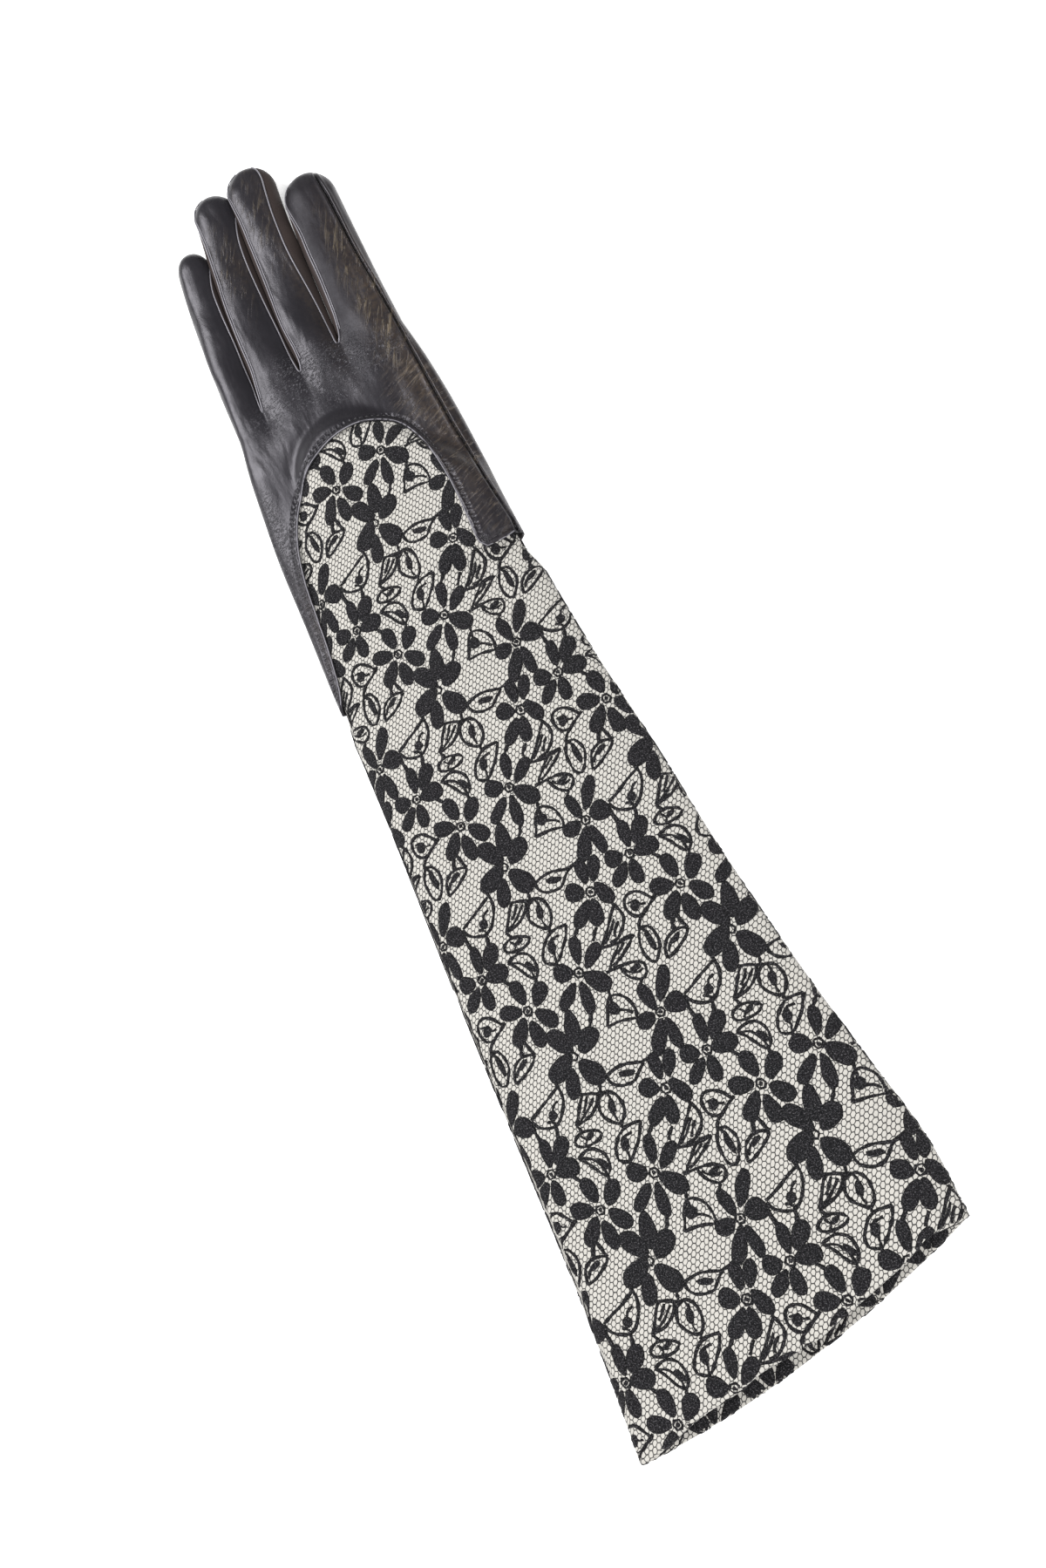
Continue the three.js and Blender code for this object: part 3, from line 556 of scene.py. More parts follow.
# Corded outlines: width, whether the line closes on itself, and the places of its points, x and y in turn.
CORDS = [
    (1.2, True, [1, -19.7, 2.4, -16.4, 3.4, -13, 4.6, -11.2, 6, -9.8, 8.6, -10.3, 11, -12.5, 12.3, -15.5,
        12.5, -18.5, 12, -20, 9, -19.6, 5, -19.3]),
    (1.2, False, [6.1, -7.4, 5.8, -9.8, 5.6, -12.6]),
    (1, False, [6.6, -15.6, 9, -16, 11.4, -17.8]),
    (1.2, True, [22.3, 3.2, 23, 6.4, 24.4, 8.7, 27, 8.9, 28.8, 6, 29.2, 3, 28.2, 0, 26.2, -3.2, 24.6, -3.8,
        22.9, -1.4]),
    (1.1, False, [25, 8.4, 26.6, 5.8, 27.2, 1]),
    (1.3, False, [24, 8.4, 25, 11.2, 28, 13.7, 31.6, 16.3, 33.6, 17.8]),
    (1.3, False, [32.6, 17, 31.4, 18.4, 29.4, 20.6, 27, 21.8, 24.4, 21.6, 22.6, 19.8, 22.3, 17.2, 23.1,
        14.8, 24.8, 13.2, 27.6, 13.2]),
    (0.9, False, [23.6, 18.6, 25.6, 18.6, 28.4, 16.4, 29.6, 16.6]),
    (1.2, False, [29.6, -4.2, 30.1, -1, 31.3, 1.7, 33.4, 3.4, 35.9, 4.2, 38, 4.2, 40, 3.4]),
    (1.2, False, [40, 3.4, 39.2, 2, 37.6, 0.4, 35.1, -1.5, 32.6, -3.1, 29.7, -4.2]),
    (1, False, [30.8, -2.2, 32.2, 0.4, 34.4, 1.9, 36.6, 2.4]),
    (1.5, False, [40, 3.4, 39.4, 5, 38.6, 7, 38, 9]),
    (1.2, False, [30.4, -17.6, 33.1, -16.2, 35.9, -14.5, 39.3, -12.5, 42.4, -10.6, 43.6, -10]),
    (1.3, False, [43.6, -7.6, 44.5, -10.9, 44.5, -14, 43.7, -16.5, 42.4, -18.7, 40.9, -20.9, 38.4, -22.5,
        36.2, -22.5, 33.7, -21.8, 31.5, -20.3, 30.4, -18]),
    (1, False, [38.9, -18.2, 40, -15.6, 42.3, -14.2]),
    (1.1, False, [36, -20.2, 37.4, -20.6, 38.6, -21.6]),
    (1.6, False, [-29.4, 26.3, -29.5, 24.2, -30.2, 21.6]),
    (1.7, False, [-37.9, 29, -37.4, 25.6, -36.6, 22.6]),
    (1.2, False, [-5, 37.4, -2.3, 38.4, 1, 38.9, 4.3, 38.5, 6.8, 37.9, 8.9, 37.8, 11, 38.8, 13.4, 39.8]),
    (1.2, False, [8.6, 37.7, 6, 35.4, 4.3, 33.3, 2.7, 32.3, 0.2, 32, -2.3, 32.5, -4.4, 33.8, -5.4, 35.8,
        -5.4, 37.4]),
    (1, False, [-1.2, 36.6, 0.4, 36.6, 3, 35.2, 4.4, 36]),
    (1.3, True, [-7.8, 32.1, -5.3, 31, -3.9, 28.3, -3.6, 25.4, -4.4, 22.5, -6.1, 20.5, -7.8, 20.6, -10.3,
        22.5, -12, 25, -11.8, 28.3, -10.3, 31]),
    (0.9, False, [-7.8, 31.6, -6.8, 29.2, -7.8, 24.6, -7.2, 21.4]),
    (1.3, False, [-6.3, 20.6, -6.6, 18.8]),
    (1.2, False, [-9, 35.6, -9.2, 33.6, -9.6, 31.8]),
    (1.2, False, [-17, 33.9, -13.4, 33.3, -11, 32.4, -8.6, 32.1]),
    (1.2, False, [-16.3, 33.4, -18.1, 30.8, -19.6, 28, -21, 25.5, -22.2, 24]),
    (1.2, False, [-10.8, 32.2, -12.6, 28.8, -15.2, 26.4, -18.6, 24.8, -22.2, 24]),
    (1, False, [-12.6, 31.6, -15, 29, -18, 26.4, -21.6, 24.2]),
    (1.1, False, [-14.6, 32.6, -16.4, 29.6, -18.2, 27.6]),
    (1.2, True, [-24.9, 18.6, -23.7, 20.2, -21.5, 21.3, -19, 21.5, -16.5, 20.8, -14.2, 19.6, -15.5, 17.7,
        -18.8, 16.6, -22.2, 16.5, -24.6, 17.5]),
    (1.3, False, [-20.6, 21.2, -21.2, 22.6, -22, 24]),
    (0.9, False, [-21.8, 20.4, -20.2, 18.4, -21.4, 17.2]),
    (1.2, True, [-25.4, 13.4, -22.6, 14.8, -19.6, 15.2, -16.6, 13.4, -15.4, 10.2, -15.8, 7, -17.5, 5, -19.4,
        6.2, -21.4, 9, -23.4, 11.6]),
    (1, False, [-24.4, 12.8, -21, 12, -18.4, 8.6, -17.6, 5.6]),
    (1.4, False, [-17.5, 5.2, -17.7, 2.6]),
    (1.2, False, [0.1, 19.1, -2.8, 19.1, -5.3, 18.8, -7.8, 17.5, -9.8, 15.4, -11.4, 12.9, -12.2, 10, -11.4,
        8.1, -8.6, 7.3]),
    (1.2, False, [0.1, 19.1, -1.3, 15.8, -2.8, 13.3, -4.8, 10.8, -6.9, 8.3, -8.6, 7.3]),
    (1.1, False, [-8.8, 14.6, -6.6, 16, -4, 16.4]),
    (0.9, False, [-7.8, 12, -7.8, 9.8, -8.2, 7.8]),
    (1.3, False, [-8.6, 7.4, -8, 6.2]),
    (1.2, False, [9.2, 7.2, 10.6, 8.8, 12.7, 11.3, 14.8, 14.2, 16.8, 17.1, 18.7, 19.6]),
    (1.3, False, [18.3, 20.4, 19.4, 18.6, 20.3, 16.4, 20.4, 14.2, 19.3, 11.7, 17.3, 9.4, 15.2, 7.8, 12.6,
        7.4]),
    (1, False, [17, 15.2, 14.8, 12, 12.4, 9.4, 10.6, 7.8]),
    (1.1, False, [18, 13.8, 15.8, 11, 15, 9]),
    (1.3, False, [8.6, 7, 11.8, 6.6, 15.2, 6.7, 18.6, 7.3, 21.4, 7.6]),
    (1.2, False, [21.4, 7.6, 19.3, 5.4, 16.8, 3.4, 14.7, 1.9, 12.6, 0.4, 10.4, -0.6]),
    (1.1, False, [15.4, 6.4, 13.2, 3.8, 11.2, 1.7, 9.8, 0, 9.2, -1.4]),
    (1, False, [17.4, 6.2, 15.6, 4.6, 13.6, 3]),
    (1.3, False, [10, 14.4, 8.3, 12.3, 7.2, 10.2]),
    (1.5, False, [3.6, 16.8, 2.2, 15, 0.9, 13.6]),
    (1.2, False, [7.6, -1.7, 12.6, -1.3, 18, -1.4, 20.8, -2.6, 21.6, -4.6, 20.6, -6.8, 18.5, -8, 15.6, -6.6,
        13.5, -4, 12.8, -1.6]),
    (0.9, False, [13.8, -2.4, 15.8, -4.6, 18, -5.4, 20.4, -4.6]),
    (1.3, False, [18.5, -8, 17.2, -9.9]),
    (1.4, False, [-2.8, -13.4, -3.9, -15.8, -5.2, -17.8]),
    (1.7, False, [-31.2, -15.6, -32, -17.6, -32.4, -19.8]),
    (1.5, False, [-29.6, 8.2, -27.4, 5.8]),
    (1.3, False, [13.9, -34.2, 12.8, -36]),
    (1.2, False, [22.8, -34, 23.4, -36.4]),
]
# Heights over the cloth, the spread of the thread past the chart, the pitch of the points, and how far the
# hand-like unevenness moves the lace and widens its cords.
CORD_RISE, PETAL_RISE, SINK_MM = 0.30, 0.34, 0.04
# A petal's rings: share of its size and of its rise; and the rise of the middles of its top and underside.
PETAL_RINGS = ((1.0, -0.12), (1.0, 0.16), (0.86, 1.0), (0.45, 0.82))
PETAL_TOP, PETAL_UNDER = 0.85, -0.12
SPREAD_BY, LACE_STEP, LACE_UNEVEN, CORD_UNEVEN = 0.3, 1.75, 0.17, 0.16


def locate(coords, targets, cell=3.0):
    """Finds fractional (row, column) of each target in a grid of plan coordinates: the grid point kept in
    its square cell of the plan, spread to the empty cells round it, then short Newton steps on the
    bilinear grid."""
    rows, columns = coords.shape[:2]
    low = np.minimum(coords.reshape(-1, 2).min(axis=0), targets.min(axis=0)) - cell
    high = np.maximum(coords.reshape(-1, 2).max(axis=0), targets.max(axis=0)) + cell
    first = np.full(tuple(((high - low) / cell).astype(int) + 2) + (2,), -1.0)
    squares = ((coords - low) / cell).astype(int)
    first[squares[..., 0], squares[..., 1]] = np.stack(np.meshgrid(np.arange(rows), np.arange(columns),
                                                                   indexing="ij"), axis=-1)
    while (first[..., 0] < 0).any():
        for axis, step in ((0, 1), (0, -1), (1, 1), (1, -1)):
            beside = np.roll(first, step, axis=axis)
            first = np.where((first < 0) & (beside >= 0), beside, first)
    squares = ((targets - low) / cell).astype(int)
    place = first[squares[:, 0], squares[:, 1]].copy()
    for _ in range(12):
        i = np.clip(np.floor(place[:, 0]).astype(int), 0, rows - 2)
        j = np.clip(np.floor(place[:, 1]).astype(int), 0, columns - 2)
        f, g = (place[:, 0] - i)[:, None], (place[:, 1] - j)[:, None]
        a, b, c, d = coords[i, j], coords[i, j + 1], coords[i + 1, j], coords[i + 1, j + 1]
        value = (a * (1 - g) + b * g) * (1 - f) + (c * (1 - g) + d * g) * f
        by_row = (c - a) * (1 - g) + (d - b) * g
        by_column = (b - a) * (1 - f) + (d - c) * f
        miss = targets - value
        det = by_row[:, 0] * by_column[:, 1] - by_row[:, 1] * by_column[:, 0]
        det = np.where(np.abs(det) < 1e-6, 1e-6, det)
        step = np.stack([miss[:, 0] * by_column[:, 1] - miss[:, 1] * by_column[:, 0],
                         by_row[:, 0] * miss[:, 1] - by_row[:, 1] * miss[:, 0]], axis=1) / det[:, None]
        place = np.clip(place + np.clip(step, -2, 2), -3, (rows + 2, columns + 2))
    return place


def sample(grid, place):
    """Bilinear values of a grid at fractional (row, column) places, held at its borders."""
    rows, columns = grid.shape[:2]
    row = np.clip(place[:, 0], 0, rows - 1.0001)
    column = np.clip(place[:, 1], 0, columns - 1.0001)
    i, j = row.astype(int), column.astype(int)
    f, g = (row - i)[:, None], (column - j)[:, None]
    return ((grid[i, j] * (1 - g) + grid[i, j + 1] * g) * (1 - f)
            + (grid[i + 1, j] * (1 - g) + grid[i + 1, j + 1] * g) * f)


def grid_normals(points):
    """Unit normals of a grid of points, from differences along its rows and columns."""
    down, aside = np.gradient(points, axis=0), np.gradient(points, axis=1)
    normal = np.cross(aside, down)
    return normal / np.maximum(np.linalg.norm(normal, axis=-1, keepdims=True), 1e-9)


def petal_shape(foot_x, foot_y, tip_x, tip_y, width, taper=0.22):
    """An egg-shaped petal: rings of points at shares of its size, with their rise over the cloth."""
    foot, tip = np.array([foot_x, foot_y]), np.array([tip_x, tip_y])
    way = tip - foot
    length = np.hypot(*way)
    way = way / length
    length, width = length + SPREAD_BY, width + SPREAD_BY
    aside = np.array([-way[1], way[0]])
    count = max(12, int((length + width) * 1.6 / LACE_STEP))
    turn_by = np.linspace(0, 2 * np.pi, count, endpoint=False)
    along = np.cos(turn_by)
    out = np.sin(turn_by) * (1 + taper * along) / (1 + taper * 0.3)
    middle = (foot + tip) / 2
    rings = []
    for share, level in PETAL_RINGS:
        ring = middle + share * (along[:, None] * way * length / 2 + out[:, None] * aside * width / 2)
        rings.append(np.column_stack([ring, np.full(count, level * PETAL_RISE)]))
    points = np.concatenate([*rings, [[*middle, level * PETAL_RISE] for level in (PETAL_TOP, PETAL_UNDER)]])
    k = np.arange(count)
    after = (k + 1) % count
    tris = np.concatenate([np.stack([3 * count + k, 3 * count + after, np.full(count, 4 * count)], 1),
                           np.stack([after, k, np.full(count, 4 * count + 1)], 1)])
    return points, grid_faces(4, count, wrap_columns=True), tris


def cord_shape(width, closed, points):
    """A corded line: a ridge of three sides swept along a smooth curve through the points."""
    points = np.reshape([*points, *points[:2]] if closed else points, (-1, 2))
    curve = spline(points, 200)
    count = max(4, int(lengths(curve)[-1] / LACE_STEP))
    curve = even(curve, count + 1)
    way = np.gradient(curve, axis=0)
    way /= np.linalg.norm(way, axis=1)[:, None]
    aside = np.stack([-way[:, 1], way[:, 0]], axis=1)
    uneven = 1 + CORD_UNEVEN * np.sin(2.4 * np.arange(len(curve)) + points[0, 0])
    half_width = (aside * ((width + SPREAD_BY / 2) * uneven)[:, None]) / 2
    lines = ((curve + half_width, -SINK_MM), (curve, CORD_RISE), (curve - half_width, -SINK_MM))
    made = np.stack([np.column_stack([p, np.full(len(p), z)]) for p, z in lines], axis=1).reshape(-1, 3)
    k = np.arange(len(curve) - 1) * 3
    quads = np.concatenate([np.stack([k + a, k + b, k + 3 + b, k + 3 + a], 1)
                            for a, b in ((1, 0), (2, 1), (0, 2))])
    end = 3 * (len(curve) - 1)
    tris = np.array([(0, 1, 2), (end + 2, end + 1, end)])
    return made, quads, tris


# The cord of the rings; how far past the cloth and how many repeats down and aside the chart is laid.
RING_CORD, PAST_CLOTH, MOST_DOWN, MOST_ASIDE = 0.9, 60, 12, 6
shapes = [petal_shape(*row) for row in PETALS]
for x, y, width, length, lean in EYES:
    reach = np.array([np.sin(np.radians(lean)), np.cos(np.radians(lean))]) * length / 2
    shapes.append(petal_shape(x - reach[0], y - reach[1], x + reach[0], y + reach[1], width, taper=0.0))
for x, y, width in RINGS:
    spin = np.linspace(0, 2 * np.pi, 8, endpoint=False)
    ring = np.column_stack([x + width / 2 * np.cos(spin), y + width / 2 * np.sin(spin)])
    shapes.append(cord_shape(RING_CORD, True, ring.ravel()))
shapes += [cord_shape(*row) for row in CORDS]


def joined(parts):
    """Several (points, quads, tris) as one."""
    points, quads, tris = zip(*parts)
    start = np.cumsum([0] + [len(p) for p in points])
    return (np.concatenate(points), np.concatenate([q + n for q, n in zip(quads, start)]),
            np.concatenate([t + n for t, n in zip(tris, start)]))


motif_points, motif_quads, motif_tris = joined(shapes)
low, high = (end(place_rows.reshape(-1, 2), axis=0) for end in (np.min, np.max))
low, high = low - PAST_CLOTH, high + PAST_CLOTH
copies = []
for down in range(-MOST_DOWN, MOST_DOWN + 1):
    for aside in range(-MOST_ASIDE, MOST_ASIDE + 1):
        shift_by = down * REPEAT_DOWN + aside * REPEAT_ASIDE
        if np.all(shift_by > low) and np.all(shift_by < high):
            moved = motif_points.copy()
            moved[:, :2] += shift_by
            copies.append((moved, motif_quads, motif_tris))
lace_plan, lace_quads, lace_tris = joined(copies)
x, y = lace_plan[:, 0], lace_plan[:, 1]
lace_plan[:, :2] += LACE_UNEVEN * np.stack([np.sin(2.9 * y + 1.3 * np.sin(1.7 * x)),
                                            np.sin(3.1 * x + 1.1 * np.sin(2.3 * y) + 1.0)], axis=1)
lace_place = locate(place_rows, lace_plan[:, :2])
lace_normals = grid_normals(sleeve_points[:lace_rows])
outward = sample(lace_normals, lace_place)
outward /= np.linalg.norm(outward, axis=1)[:, None]
lace_points = sample(sleeve_points[:lace_rows], lace_place) + outward * lace_plan[:, 2:]
seen = ((lace_place[:, 0] > 0) & (lace_place[:, 0] < lace_rows - 1)
        & (lace_place[:, 1] > 0) & (lace_place[:, 1] < SLEEVE_COLUMNS))
lace_points[:, 2] = np.maximum(lace_points[:, 2], 0.0)


MOST_DRAWN, MOST_ADDED = 1.5, 0.5


def kept(faces):
    """Faces with two corners or more on the sheet and no side much longer there than in the repeat."""
    longest = np.zeros(len(faces))
    for k in range(faces.shape[1]):
        a, b = faces[:, k], faces[:, (k + 1) % faces.shape[1]]
        drawn = np.linalg.norm(lace_points[a] - lace_points[b], axis=1)
        charted = np.linalg.norm(lace_plan[a] - lace_plan[b], axis=1)
        longest = np.maximum(longest, drawn - MOST_DRAWN * charted)
    return faces[(seen[faces].sum(axis=1) >= 2) & (longest < MOST_ADDED)]


def used_only(count, quads, tris):
    """Which of the points the faces use, and the faces numbered by the used points alone."""
    used = np.zeros(count, bool)
    used[quads.ravel()] = used[tris.ravel()] = True
    index = np.cumsum(used) - 1
    return used, index[quads], index[tris]


used, lace_quads, lace_tris = used_only(len(lace_points), kept(lace_quads), kept(lace_tris))

# The thread's lighter colour is a painted highlight: speckled glints, and streaks along the satin stitches.
LACE_BLACK, LACE_GLINT = (0.004, 0.004, 0.0048, 1), (0.120, 0.115, 0.123, 1)
lace_look, tree, shader = new_material("lace_thread", {
    "Roughness": 0.7, "Sheen Weight": 0.05, "Sheen Roughness": 0.4, "Specular IOR Level": 0.10,
})
millimetres = repeat_millimetres(tree)
grain = noise(tree, millimetres, 1.9, 2.0, Roughness=0.8)
painted_glints = ramp(tree, grain, 0.53, 0.72, kind="LINEAR")
streaks = noise(tree, vector_calc(tree, "MULTIPLY", millimetres, (3.2, 0.45, 0)), 1.0, 1.0)
satin_highlights = ramp(tree, streaks, 0.5, 0.75, to_high=0.15, kind="LINEAR")
colour = mixed(tree, calc(tree, "MAXIMUM", painted_glints, satin_highlights), LACE_BLACK, LACE_GLINT)
tree.links.new(colour, shader.inputs["Base Color"])
rows_of_thread = add_node(tree, "TexWave", {"Vector": millimetres, "Scale": 0.9, "Distortion": 2.0,
                                            "Detail": 2.0}, bands_direction="DIAGONAL").outputs["Fac"]
relief = calc(tree, "ADD", rows_of_thread, grain)
bump = add_node(tree, "Bump", {"Strength": 0.5, "Distance": 0.0002, "Height": relief})
tree.links.new(bump.outputs[0], shader.inputs["Normal"])
lace = mesh_object("lace_motifs", lace_points[used], lace_quads, lace_look, tris=lace_tris,
                   corner_maps={"repeat": lace_plan[used, :2] / REPEAT_UNIT})
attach(lace, "root")

# ---- Leather hand ----------------------------------------------------------------------------------
# The main hide of thin black kid leather: back and palm in one piece folded round the little finger side,
# with an arch cut out of the back for the cloth, its edges turned in and stitched down.

FINGER_NAMES = ("root_x", "root_y", "bend_x", "bend_y", "tip_x", "tip_y", "root_width", "tip_width",
                "thick", "roll", "rounding", "columns")
FINGERS = [dict(zip(FINGER_NAMES, row)) for row in (
    (-42.4, 380, -42.2, 446, -37.0, 473.6, 15.2, 13.2, 10.5, 9, 13, 24),
    (-26.2, 388, -26.4, 458, -19.6, 491.2, 19.0, 16.2, 11.5, 9, 14, 25),
    (-7.6, 390, -7.4, 458, -2.6, 494.6, 18.8, 19.6, 11.5, 8, 14, 23),
    (15.2, 391, 14.8, 440, 16.2, 480.6, 24.6, 20.6, 12.0, -3, 12, 38),
)]
# The side strips between the fingers: their crotch, and the share of the half width at which the seam runs on
# the finger to the left and to the right, along it and at its tip.
GAP_NAMES = ("crotch_x", "crotch_y", "left_share", "left_tip", "right_share", "right_tip")
GAPS = [dict(zip(GAP_NAMES, row)) for row in (
    (-36.2, 397.5, 0.66, 1.0, 0.84, 1.0),
    (-15.9, 405.0, 0.70, 1.0, 0.86, 1.0),
    (2.2, 408.0, 0.46, 0.55, 0.80, 1.0),
)]
CROTCH_SHARE = 0.88
CROTCH_LINE = 407.0
BLEND_FROM, BLEND_TO = 382.0, 422.0
HAND_LINE_END = 400.0
LEATHER_ROW = 0.95
HAND_START = 270.0
TIP_ROWS = 14
DENSE = 121
FINGER_POWER = 2 / 2.3
CROTCH_ROUNDING = 4.0
# A finger is slimmer at its root, and grows to its full width and thickness over this share of its length.
ROOT_SHARE, ROOT_WIDTH, ROOT_THICK = 0.3, 0.95, 0.93
# Where a finger's seams settle to their share along it and at its tip: start and length, in shares.
ALONG_START, ALONG_LENGTH, TIP_START, TIP_LENGTH = 0.82, 0.45, 0.66, 0.28
INDEX_SEAM = np.array([
    (21.4, 482), (22.7, 466), (23.1, 446), (25.6, 405), (28.2, 355), (30.4, 330), (32.2, 314), (33.6, 304),
    (34.6, 292),
], float)
TAB_HEM = np.array([(18.4, 306.4), (20.4, 304.4), (23, 304.6), (30.4, 306.2)], float)
PALM_HEM = np.array([(-57.0, 274), (34.2, 305.4)], float)
HIDE_WALL = 0.9


def finger_axis(finger, t):
    """Middle line of a finger from root (0) to tip (1), a quadratic curve, and its direction."""
    def curve(k):
        a, b, c = finger["root_" + k], finger["bend_" + k], finger["tip_" + k]
        return (1 - t) ** 2 * a + 2 * t * (1 - t) * b + t * t * c, 2 * (1 - t) * (b - a) + 2 * t * (c - b)
    (x, dx), (y, dy) = curve("x"), curve("y")
    length = np.hypot(dx, dy)
    return x, y, dx / length, dy / length


def tip_share(finger, t):
    """How much of the full section is left at t, where the tip rounds off over its last stretch."""
    left = (1 - t) * (finger["tip_y"] - finger["root_y"])
    into = np.clip((finger["rounding"] - left) / finger["rounding"], 0, 1)
    return np.sqrt(np.maximum(1 - into ** 2, 0.0025))


def finger_point(finger, t, angle):
    """A point round a finger: a rolled superellipse that narrows at the tip and lies on its under side."""
    past = np.minimum(t, 0) * (finger["tip_y"] - finger["root_y"])
    t = np.clip(t, 0, 1)
    x, y, dx, dy = finger_axis(finger, t)
    grown = ease(t / ROOT_SHARE)
    share = tip_share(finger, t)
    roll = np.radians(finger["roll"]) * grown
    width = lerp(finger["root_width"], finger["tip_width"], t) * lerp(ROOT_WIDTH, 1, grown)
    a = width / 2 * share
    b = finger["thick"] / 2 * lerp(ROOT_THICK, 1, grown) * share ** 0.8
    lying = finger["thick"] / 2 * 0.95 + finger["root_width"] / 2 * np.abs(np.sin(roll)) * 0.5
    across = sharpen(np.cos(angle), FINGER_POWER) * a
    up = sharpen(np.sin(angle), FINGER_POWER) * b
    side = across * np.cos(roll) + up * np.sin(roll)
    z = np.maximum(lying - across * np.sin(roll) + up * np.cos(roll), 0)
    return np.stack([x + dy * side, y + past - dx * side, z], axis=-1)


def seam_angle(finger, t, gap, side):
    """Angle from a finger's edge to the seam of the side strip; 0 where the finger has none on that side."""
    if gap is None:
        return np.zeros_like(t)
    start = (gap["crotch_y"] - finger["root_y"]) / (finger["tip_y"] - finger["root_y"]) * ALONG_START
    at_crotch = lerp(CROTCH_SHARE, gap[side + "_share"], ease((t - start) / ALONG_LENGTH))
    share = lerp(at_crotch, gap[side + "_tip"], ease((t - TIP_START) / TIP_LENGTH))
    return np.arccos(np.clip(share ** (1 / FINGER_POWER), 0, 1))


def resample(curves, want):
    """Each row's curve at its own wanted distances along it."""
    made = []
    for curve, run, row in zip(curves, lengths(curves), want):
        made.append(np.stack([np.interp(row, run, curve[:, k]) for k in range(3)], axis=1))
    return np.stack(made)


def evenly(curves, count, low=0.0, high=1.0):
    """Rows of curves resampled at an even pitch between two shares of their length."""
    total = lengths(curves)[:, -1:]
    return resample(curves, total * np.linspace(low, high, count))


def hand_arc(s, layer):
    """The hand's section on one layer from the left fold to the right one, for each line."""
    held = np.minimum(s, HAND_LINE_END)
    turn_by = np.pi - layer * np.linspace(0, np.pi, 721)
    arc = tube_point(held[:, None], turn_by[None, :], 0.0)
    arc[..., 1] += (s - held)[:, None]
    return arc


def split_shares(layer):
    """Shares of the run across at which the crotches divide the hand into its fingers."""
    arc = hand_arc(np.array([HAND_LINE_END]), layer)[0]
    run = lengths(arc)
    return [0.0] + [float(np.interp(gap["crotch_x"], arc[:, 0], run / run[-1])) for gap in GAPS] + [1.0]


hand_s = np.linspace(HAND_START, CROTCH_LINE, int((CROTCH_LINE - HAND_START) / LEATHER_ROW) + 1)
HAND_ROWS = len(hand_s)
patches = {}
row_lines = []
for layer in (1, -1):
    shares = split_shares(layer)
    whole = hand_arc(hand_s, layer)
    for n, finger in enumerate(FINGERS):
        part = evenly(whole, DENSE, shares[n], shares[n + 1])
        middle_y = part[:, DENSE // 2, 1]
        t_dense = np.linspace(0, 1, 2001)
        y_dense = finger_axis(finger, t_dense)[1]
        length = finger["tip_y"] - finger["root_y"]
        t_hand = np.where(middle_y < finger["root_y"], (middle_y - finger["root_y"]) / length,
                          np.interp(middle_y, y_dense, t_dense))
        t_round = 1 - finger["rounding"] / length
        y_start, y_round = middle_y[-1], np.interp(t_round, t_dense, y_dense)
        straight = np.arange(y_start, y_round, LEATHER_ROW)[1:]
        round_off = np.sin(np.linspace(0, np.pi / 2, TIP_ROWS))
        t_tip = 1 - finger["rounding"] / length * (1 - round_off)
        t_all = np.concatenate([t_hand, np.interp(straight, y_dense, t_dense), t_tip])
        s_all = np.concatenate([hand_s, CROTCH_LINE + straight - y_start,
                                CROTCH_LINE + np.interp(t_tip, t_dense, y_dense) - y_start])
        part = evenly(hand_arc(s_all, layer), DENSE, shares[n], shares[n + 1])
        left_gap = GAPS[n - 1] if n > 0 else None
        right_gap = GAPS[n] if n < 3 else None
        t_seam = np.clip(t_all, 0, 1)
        left = seam_angle(finger, t_seam, left_gap, "right")
        right = seam_angle(finger, t_seam, right_gap, "left")
        turn_by = lerp((np.pi - left)[:, None], right[:, None], np.linspace(0, 1, 241)[None, :])
        section = finger_point(finger, t_all[:, None], layer * turn_by)
        section = evenly(section, DENSE)
        weight = ease((s_all - BLEND_FROM) / (BLEND_TO - BLEND_FROM))[:, None, None]
        patches[layer, n] = lerp(part, section, weight)
        if layer == 1:
            row_lines.append((s_all, t_all))

# Below the crotches neighbouring fingers meet in one line; just above them they part round a small curve.
# Over the first reach their surfaces are drawn together, over the other two the whole crotch is moved.
PARTING_REACH, CROTCH_ALONG, CROTCH_ACROSS = 4.0, 14, 9
for layer in (1, -1):
    for n, gap in enumerate(GAPS):
        a, b = patches[layer, n], patches[layer, n + 1]
        count = HAND_ROWS + 5
        s_near = row_lines[n][0][:count]
        part_share = np.clip((s_near - CROTCH_LINE) / CROTCH_ROUNDING, 0, 1)
        parting = np.sqrt(1 - (1 - part_share) ** 2)
        apart = (a[:count, -1] - b[:count, 0]) * (1 - parting)[:, None] / 2
        run_a = lengths(a[:count])
        run_a = run_a[:, -1:] - run_a
        a[:count] -= apart[:, None, :] * bell(run_a / PARTING_REACH)[..., None]
        b[:count] += apart[:, None, :] * bell(lengths(b[:count]) / PARTING_REACH)[..., None]
        place = a[HAND_ROWS - 1, -1].copy()
        shift_by = np.array([gap["crotch_x"] - place[0], gap["crotch_y"] - place[1], 0])
        for m in (n, n + 1):
            grid = patches[layer, m]
            near = bell((row_lines[m][0] - CROTCH_LINE)[:, None] / CROTCH_ALONG)
            near = near * bell((grid[..., 0] - place[0]) / CROTCH_ACROSS)
            grid += near[..., None] * shift_by
        meet = (a[:HAND_ROWS, -1] + b[:HAND_ROWS, 0]) / 2
        a[:HAND_ROWS, -1] = b[:HAND_ROWS, 0] = meet


# Columns packed round the long seam: how far they reach to each side and at most which share of the room
# there, their places, and the share of the other columns that lie before them.
SEAM_MARGIN, MARGIN_SHARE, BEFORE_SEAM = 1.5, 0.35, 0.72
SEAM_COLUMNS = np.array([-1.0, -0.62, -0.32, 0.0, 0.32, 0.62, 1.0])


